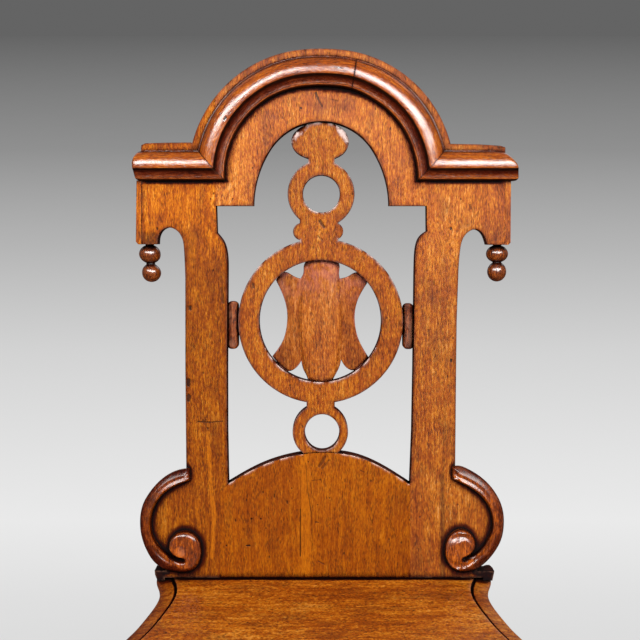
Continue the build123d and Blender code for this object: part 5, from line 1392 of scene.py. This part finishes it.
rings = []
for ins, z, (we, di) in prof_seat:
    ring_v = []
    for x, y in seat_loop(ins):
        side = 0.2 if x < 0 else 0.7
        band = (0.22 + 0.14 * fade(ins, 3.0, 9.0) if x < 0 else 0.15) if ins < 14 else 0.0
        # the moulded edge beside and behind the back's feet is darkened: old grime and painted shade
        corner = 0.8 * fade(-y, 2.0, 9.0) if 2.5 < ins < 15 else 0.0
        ring_v.append(sv(x, y, z, (we * side, max(di, band, corner))))
    rings.append(ring_v)
for a, b in zip(rings, rings[1:]):
    n = len(a)
    for i in range(n):
        j = (i + 1) % n
        bm.faces.new((a[i], a[j], b[j], b[i]))
for ring_v, z, top in ((rings[-1], 450.0, True), (rings[0], 424.0, False)):
    lp = [(v.co.x * 1000, v.co.y * 1000 - YS) for v in ring_v]
    rowx = [(x * 3.0, y) for x in range(-50, 51) for y in (-1.4, -3.0, -4.4, -5.8, -7.6)] if top else []
    vs, tri, own = fill([lp], rowx, 5.0 if top else 14.0, 71)
    link = {o: ring_v[k] for k, o in enumerate(own)}
    fresh = [i for i in range(len(vs)) if i not in link]
    d = reach([vs[i] for i in fresh], [lp])
    for k, i in enumerate(fresh):
        x, y = vs[i]
        zz = z
        if top:
            q = noise.noise(Vector((x / 60.0, y / 26.0, 4.0))) + 0.5 * noise.noise(Vector((x / 25.0, y / 9.0, 8.0)))
            zz += 0.3 * q * min(1.0, d[k] / 8.0) - 0.1
        # a black line of old wax where the back meets the seat
        near = max(0.0, 1 - max(0.0, -3.0 - y) / 2.6) if top and -8.0 < y < 2.0 else 0.0
        link[i] = sv(x, y, zz, (0.0, min(1.0, 1.15 * near)))
    for f in tri:
        try:
            bm.faces.new([link[i] for i in f])
        except ValueError:
            pass
bmesh.ops.recalc_face_normals(bm, faces=bm.faces)
for nm, node, side, mt in (("seat_rear", "seat_rear_board", 1, m_seat), ("seat_front", "seat_front_board", -1, m_seat2)):
    b2 = bm.copy()
    yj = (-175.0 + YS) * 0.001
    cut = bmesh.ops.bisect_plane(b2, geom=b2.verts[:] + b2.edges[:] + b2.faces[:], dist=1e-7, plane_co=(0, yj + side * 0.00006, 0),
                                 plane_no=(0, -side, 0), clear_outer=True)
    edges = [e for e in cut["geom_cut"] if isinstance(e, bmesh.types.BMEdge)]
    bmesh.ops.triangle_fill(b2, use_beauty=True, edges=edges)
    ob = settle(nm, b2, 0.7)
    piece(ob, node, mt)
bm.free()

# ------------------------------------------------------------------ tenons' ends under the seat, with their wedges
for side in (-1, 1):
    yb = [143.74 + s * 0 for s in (0,)]
    y_top = 6.0 * CN + (-26.0) * SN      # centre line of the tenon where it leaves the seat
    z0 = 423.6
    yc = 12.0 * CN - 26.0 * SN * 1.0
    ob = slab("tenon_end_%s" % ("l" if side < 0 else "r"),
              [chain(line((side * 123 - 25 + BX, yc - 6), (side * 123 + 25 + BX, yc - 6), (side * 123 + 25 + BX, yc + 6), (side * 123 - 25 + BX, yc + 6),
                          (side * 123 - 25 + BX, yc - 6)))],
              z0, 440.0, W, lambda x, y, z: (x, y, z), r=0.4, rb=0.4, g=5, wav=0.05, seed=81)
    piece(ob, None, m_leg)
    for k, xx in enumerate((112.0, 134.0)):
        ob = slab("wedge_%s%d" % ("l" if side < 0 else "r", k),
                  [chain(line((side * xx - 1.3 + BX, yc - 5.7), (side * xx + 1.3 + BX, yc - 5.7), (side * xx + 1.3 + BX, yc + 5.7),
                              (side * xx - 1.3 + BX, yc + 5.7), (side * xx - 1.3 + BX, yc - 5.7)))],
                  z0 - 0.35, 436.0, W, lambda x, y, z: (x, y, z), r=0.2, rb=0.2, g=3, wav=0.0, seed=83)
        piece(ob, "tenon_wedges", m_peg)

# ------------------------------------------------------------------ rails
UND, RZ = 424.0, 366.0
dxdy = (158.0 - 120.0) / (-304.0 + 16.0)
sx_ = lambda y: 120.0 + (y + 16.0) * dxdy
for side in (-1, 1):
    nm = "left" if side < 0 else "right"
    lp = chain(line((side * sx_(-16), -16), (side * (sx_(-16) + 20), -16), (side * (sx_(-304) + 20), -304), (side * sx_(-304), -304), (side * sx_(-16), -16)))
    ob = slab("rail_side_" + nm, [lp], RZ, UND, W, lambda x, y, z, o=side * 40: (x + o, z, y), r=0.3, rb=1.2, g=9, wav=0.1, seed=91 + side)
    piece(ob, "side_rail_" + nm, m_rail)
fp = chain(
    spline([(-146, RZ), (-120, RZ + 1), (-92, RZ + 12), (-60, RZ + 26), (-26, RZ + 20), (0, RZ + 6)], 2.0, t0=(1, 0), t1=(1, -0.75)),
    spline([(0, RZ + 6), (26, RZ + 20), (60, RZ + 26), (92, RZ + 12), (120, RZ + 1), (146, RZ)], 2.0, t0=(1, 0.75), t1=(1, 0)),
    line((146, RZ), (146, UND), (-146, UND), (-146, RZ)))
ob = slab("rail_front", [fp], 316.0, 336.0, lambda u, v, w: W(u, -w, v), lambda u, v, w: (v, w, u), r=1.4, rb=0.8, g=6, wav=0.15, seed=95)
piece(ob, "front_rail", m_rail)
rp = chain(line((-116, RZ), (116, RZ), (116, UND), (-116, UND), (-116, RZ)))
ob = slab("rail_rear", [rp], -6.0, 14.0, lambda u, v, w: W(u, w, v), lambda u, v, w: (v, w, u + 300), r=1.0, rb=1.0, g=8, wav=0.15, seed=97)
piece(ob, "rear_rail", m_rail)


# ------------------------------------------------------------------ legs
def leg_profile():
    def a3(p, q, r, k=8, we=0.4):
        return [(x, z, we) for x, z in arc3(p, q, r, k)]
    out = [(0.0, 0.0, 0.0), (12.9, 0.0, 0.3), (13.5, 0.6, 0.6)]
    out += [(15.5, 12.0, 0.2)]
    out += a3((15.5, 12.0), (17.0, 21.0), (13.2, 26.0), 8, 0.3)
    vase = spline([(13.0, 26.4), (16.6, 32.0), (19.0, 40.0), (19.6, 56.0), (14.6, 72.0), (14.0, 83.0)], 2.0)
    out += [(x, z, 0.1) for x, z in vase]
    out += a3((14.2, 83.4), (18.0, 87.5), (14.2, 91.8), 8, 0.5)
    out += a3((14.0, 92.2), (11.6, 98.5), (15.6, 105.0), 8, 0.1)
    out += a3((16.2, 105.2), (20.0, 111.5), (16.2, 117.8), 10, 0.5)
    out += [(13.6, 118.2, 0.0)]
    body = spline([(13.4, 118.6), (12.6, 140.0), (15.0, 190.0), (19.5, 240.0), (21.0, 272.0), (17.0, 296.0), (13.0, 314.0), (14.8, 322.6)], 4.0)
    out += [(x, z, 0.1) for x, z in body]
    out += a3((15.0, 323.0), (19.5, 328.0), (15.2, 332.8), 10, 0.5)
    out += a3((14.8, 333.2), (13.0, 338.0), (16.6, 341.8), 8, 0.1)
    out += a3((17.2, 342.2), (20.5, 347.5), (17.2, 352.6), 10, 0.5)
    out += [(16.6, 353.0, 0.0), (16.6, 356.0, 0.0), (0.0, 356.0, 0.0)]
    clean = [out[0]]
    for q in out[1:]:
        if math.hypot(q[0] - clean[-1][0], q[1] - clean[-1][1]) > 0.05:
            clean.append(q)
    return clean


lp_prof = leg_profile()
for side in (-1, 1):
    nm = "left" if side < 0 else "right"
    cx, cy = side * 168.0, -326.0
    v, f, w = turned(lp_prof, 64)
    tmp = finish_mesh("tmp_leg", v, f, None, w, lambda a, b, c: W(cx + a, cy + b, c), lambda a, b, c, o=side * 90: (a + o, b, c), sharp=0.6)
    sq = 22.0
    lp = chain(line((cx - sq, cy - sq), (cx + sq, cy - sq), (cx + sq, cy + sq), (cx - sq, cy + sq), (cx - sq, cy - sq), step=8))
    # corners eased by 2 mm
    lp = chain(line((cx - sq + 2, cy - sq), (cx + sq - 2, cy - sq), step=6), line((cx + sq, cy - sq + 2), (cx + sq, cy + sq - 2), step=6),
               line((cx + sq - 2, cy + sq), (cx - sq + 2, cy + sq), step=6), line((cx - sq, cy + sq - 2), (cx - sq, cy - sq + 2), step=6))
    blk = slab("leg_front_" + nm, [lp], 352.0, UND - 0.02, W, lambda x, y, z, o=side * 90: (x + o, y, z), r=0.4, rb=2.2, g=7, wav=0.1, seed=101 + side)
    # one object out of block and turning
    bmj = bmesh.new()
    bmj.from_mesh(blk.data)
    bmj.from_mesh(tmp.data)
    bmj.to_mesh(blk.data)
    bmj.free()
    old = tmp.data
    bpy.data.objects.remove(tmp)
    bpy.data.meshes.remove(old)
    piece(blk, "front_leg_" + nm, m_leg)

rl = chain(
    line((-16.0, UND - 0.02), (-16.0, 356.0)),
    spline([(-16.0, 356.0), (-12.0, 300.0), (3.0, 200.0), (27.0, 100.0), (58.0, 0.0)], 4.0, t0=(0, -1), t1=(0.34, -1)),
    line((58.0, 0.0), (86.0, 0.0)),
    spline([(86.0, 0.0), (57.0, 96.0), (35.0, 200.0), (25.0, 300.0), (24.0, 356.0)], 4.0, t0=(-0.34, 1), t1=(0, 1)),
    line((24.0, 356.0), (24.0, UND - 0.02), (-16.0, UND - 0.02)))
for side in (-1, 1):
    nm = "left" if side < 0 else "right"
    x0, x1 = (116.0, 148.0) if side > 0 else (-148.0, -116.0)
    ob = slab("leg_rear_" + nm, [rl], x0, x1, lambda u, v, w: W(w, u, v), lambda u, v, w, o=side * 60: (u + o, w, v), r=2.0, rb=2.0, g=7, wav=0.15,
              seed=111 + side)
    piece(ob, "rear_leg_" + nm, m_leg)

# ------------------------------------------------------------------ peg heads on the legs' faces
pegs = ([((153, -348, z), (0, -1, 0)) for z in (380.0, 410.0)] + [((190, -311, z), (1, 0, 0)) for z in (388.0, 402.0)]
        + [((123, 24, z), (0, 1, 0)) for z in (380.0, 410.0)] + [((148, -10, z), (1, 0, 0)) for z in (388.0, 402.0)])
pv, pf, pw, pg = [], [], [], []
for side in (-1, 1):
    for (px, py, pz), (nx, ny, nz) in pegs:
        prof = [(0.0, -12.0, 0.0), (3.1, -12.0, 0.0), (3.15, 0.05, 0.2), (2.8, 0.42, 0.9), (1.6, 0.55, 0.5), (0.0, 0.6, 0.3)]
        v, f, w = turned(prof, 20)
        base = len(pv)
        n = Vector((nx * side, ny, 0))
        t1 = Vector((0, 0, 1))
        t2 = n.cross(t1)
        for (a, b, c) in v:
            q = Vector((px * side, py, pz)) + t1 * a + t2 * b + n * c
            pv.append(tuple(q))
        pf += [tuple(base + i for i in ff) for ff in f]
        pw += w
ob = finish_mesh("peg_heads", pv, pf, None, pw, lambda x, y, z: W(x, y, z), lambda x, y, z: (x, z, y), sharp=0.6)
piece(ob, "rail_pegs", m_peg)

# ------------------------------------------------------------------ carried-over nodes
for nm in ("crest_dowels", "panel_dowels", "splat_dowels", "lug_dowels"):
    dress(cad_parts[nm], m_peg_cad)
for nm in ("corner_block_front_left", "corner_block_front_right", "corner_block_rear_left", "corner_block_rear_right"):
    dress(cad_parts[nm], m_block_cad)
dress(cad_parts["seat_tongue"], m_tongue_cad)
for nm in ("moulding_pins", "scroll_pins", "slip_nails", "seat_screws"):
    dress(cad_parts[nm], m_iron)

# ------------------------------------------------------------------ floor, light, camera
bpy.ops.mesh.primitive_circle_add(vertices=128, radius=90.0, fill_type="NGON", location=(0, 0, 0))
floor = bpy.context.object
floor.name = "floor"
N = Net("floor_glowing")
geo = N.n("ShaderNodeNewGeometry")
sep = N.n("ShaderNodeSeparateXYZ", {0: geo.outputs["Position"]})
yy = N.m("MAXIMUM", sep.outputs[1], 0.0)
# painted light: the floor glows by its own emission, and darkens away from the chair as a painted falloff of the studio
# light
t = N.m("DIVIDE", yy, N.m("ADD", yy, 4.0))
ramp = N.n("ShaderNodeValToRGB", {"Fac": t})
stops = [(0.0, 0.60), (0.21, 0.657), (0.232, 0.677), (0.26, 0.724), (0.289, 0.765), (0.346, 0.71), (0.443, 0.615), (0.565, 0.444), (0.718, 0.26),
         (0.90, 0.145), (1.0, 0.085)]
el = ramp.color_ramp.elements
el[0].position, el[0].color = stops[0][0], (stops[0][1],) * 3 + (1,)
el[1].position, el[1].color = stops[-1][0], (stops[-1][1],) * 3 + (1,)
for p, v in stops[1:-1]:
    e = el.new(p)
    e.color = (v, v, v, 1)
fine = N.noise(geo.outputs["Position"], (3, 3, 3), 3.0, 0.5)
colr = N.mix(N.m("MULTIPLY", fine, 0.03), ramp.outputs[0], (0.5, 0.5, 0.5, 1))
em = N.n("ShaderNodeEmission", {"Color": colr, "Strength": 1.0})
df = N.n("ShaderNodeBsdfDiffuse", {"Color": (0.10, 0.10, 0.10, 1)})
ad = N.n("ShaderNodeAddShader", {0: em.outputs[0], 1: df.outputs[0]})
N.n("ShaderNodeOutputMaterial", {"Surface": ad.outputs[0]})
dress(floor, N.mat)
floor.visible_glossy = False


def area_light(name, loc, target, sx, sy, power, colour=(1, 1, 1)):
    ld = bpy.data.lights.new(name, "AREA")
    ld.shape = "RECTANGLE"
    ld.size, ld.size_y = sx, sy
    ld.energy = power
    ld.color = colour
    lb = bpy.data.objects.new(name, ld)
    bpy.context.scene.collection.objects.link(lb)
    lb.location = loc
    d = Vector(target) - Vector(loc)
    lb.rotation_euler = d.to_track_quat("-Z", "Y").to_euler()
    return lb


aim = Vector((0, 0.16, 0.75))


def softbox(name, az, el, dist, sx, sy, radiance, colour=(1, 1, 1)):
    """A rectangle of light seen from the chair at azimuth az (0 in front, + right) and elevation el."""
    a, e = math.radians(az), math.radians(el)
    loc = aim + dist * Vector((math.sin(a) * math.cos(e), -math.cos(a) * math.cos(e), math.sin(e)))
    return area_light(name, loc, aim, sx, sy, radiance * sx * sy * math.pi, colour)


softbox("soft_left", -34, 32, 2.35, 1.7, 0.66, 10.5, (1.0, 0.985, 0.96))
softbox("soft_right", 33, 31, 2.35, 1.8, 0.66, 11.0, (1.0, 0.985, 0.96))
softbox("strip_left", -12, 38, 2.4, 0.24, 0.9, 20.0)
softbox("strip_right", 11, 38, 2.4, 0.22, 0.9, 20.0)
softbox("low_right", 14, 20, 2.6, 1.2, 0.4, 9.0)
softbox("rear_left", -148, 32, 3.0, 1.6, 1.4, 0.7, (0.95, 0.97, 1.0))
softbox("rear_right", 148, 32, 3.0, 1.6, 1.4, 1.6, (0.95, 0.97, 1.0))

world = bpy.data.worlds.new("studio")
bpy.context.scene.world = world
world.use_nodes = True
# a studio that is darker below than above
wt = world.node_tree
w_co = wt.nodes.new("ShaderNodeTexCoord")
w_sep = wt.nodes.new("ShaderNodeSeparateXYZ")
w_ramp = wt.nodes.new("ShaderNodeMapRange")
for sock, val in (("From Min", -0.30), ("From Max", -0.01), ("To Min", 0.03), ("To Max", 0.127)):
    w_ramp.inputs[sock].default_value = val
wt.links.new(w_co.outputs["Generated"], w_sep.inputs[0])
wt.links.new(w_sep.outputs[2], w_ramp.inputs["Value"])
wt.links.new(w_ramp.outputs[0], wt.nodes["Background"].inputs[0])
world.node_tree.nodes["Background"].inputs[1].default_value = 1.0

cam_d = bpy.data.cameras.new("cam")
cam = bpy.data.objects.new("cam", cam_d)
bpy.context.scene.collection.objects.link(cam)
cam.location = (-0.0036, -1.1982, 0.96595)
cam.rotation_euler = (math.radians(90 - 11.3), 0, 0)
cam_d.sensor_width = 36.0
cam_d.lens = 84.66
cam_d.clip_start, cam_d.clip_end = 0.05, 200.0
bpy.context.scene.camera = cam
bpy.context.scene.view_settings.view_transform = "Standard"
bpy.context.scene.view_settings.look = "None"
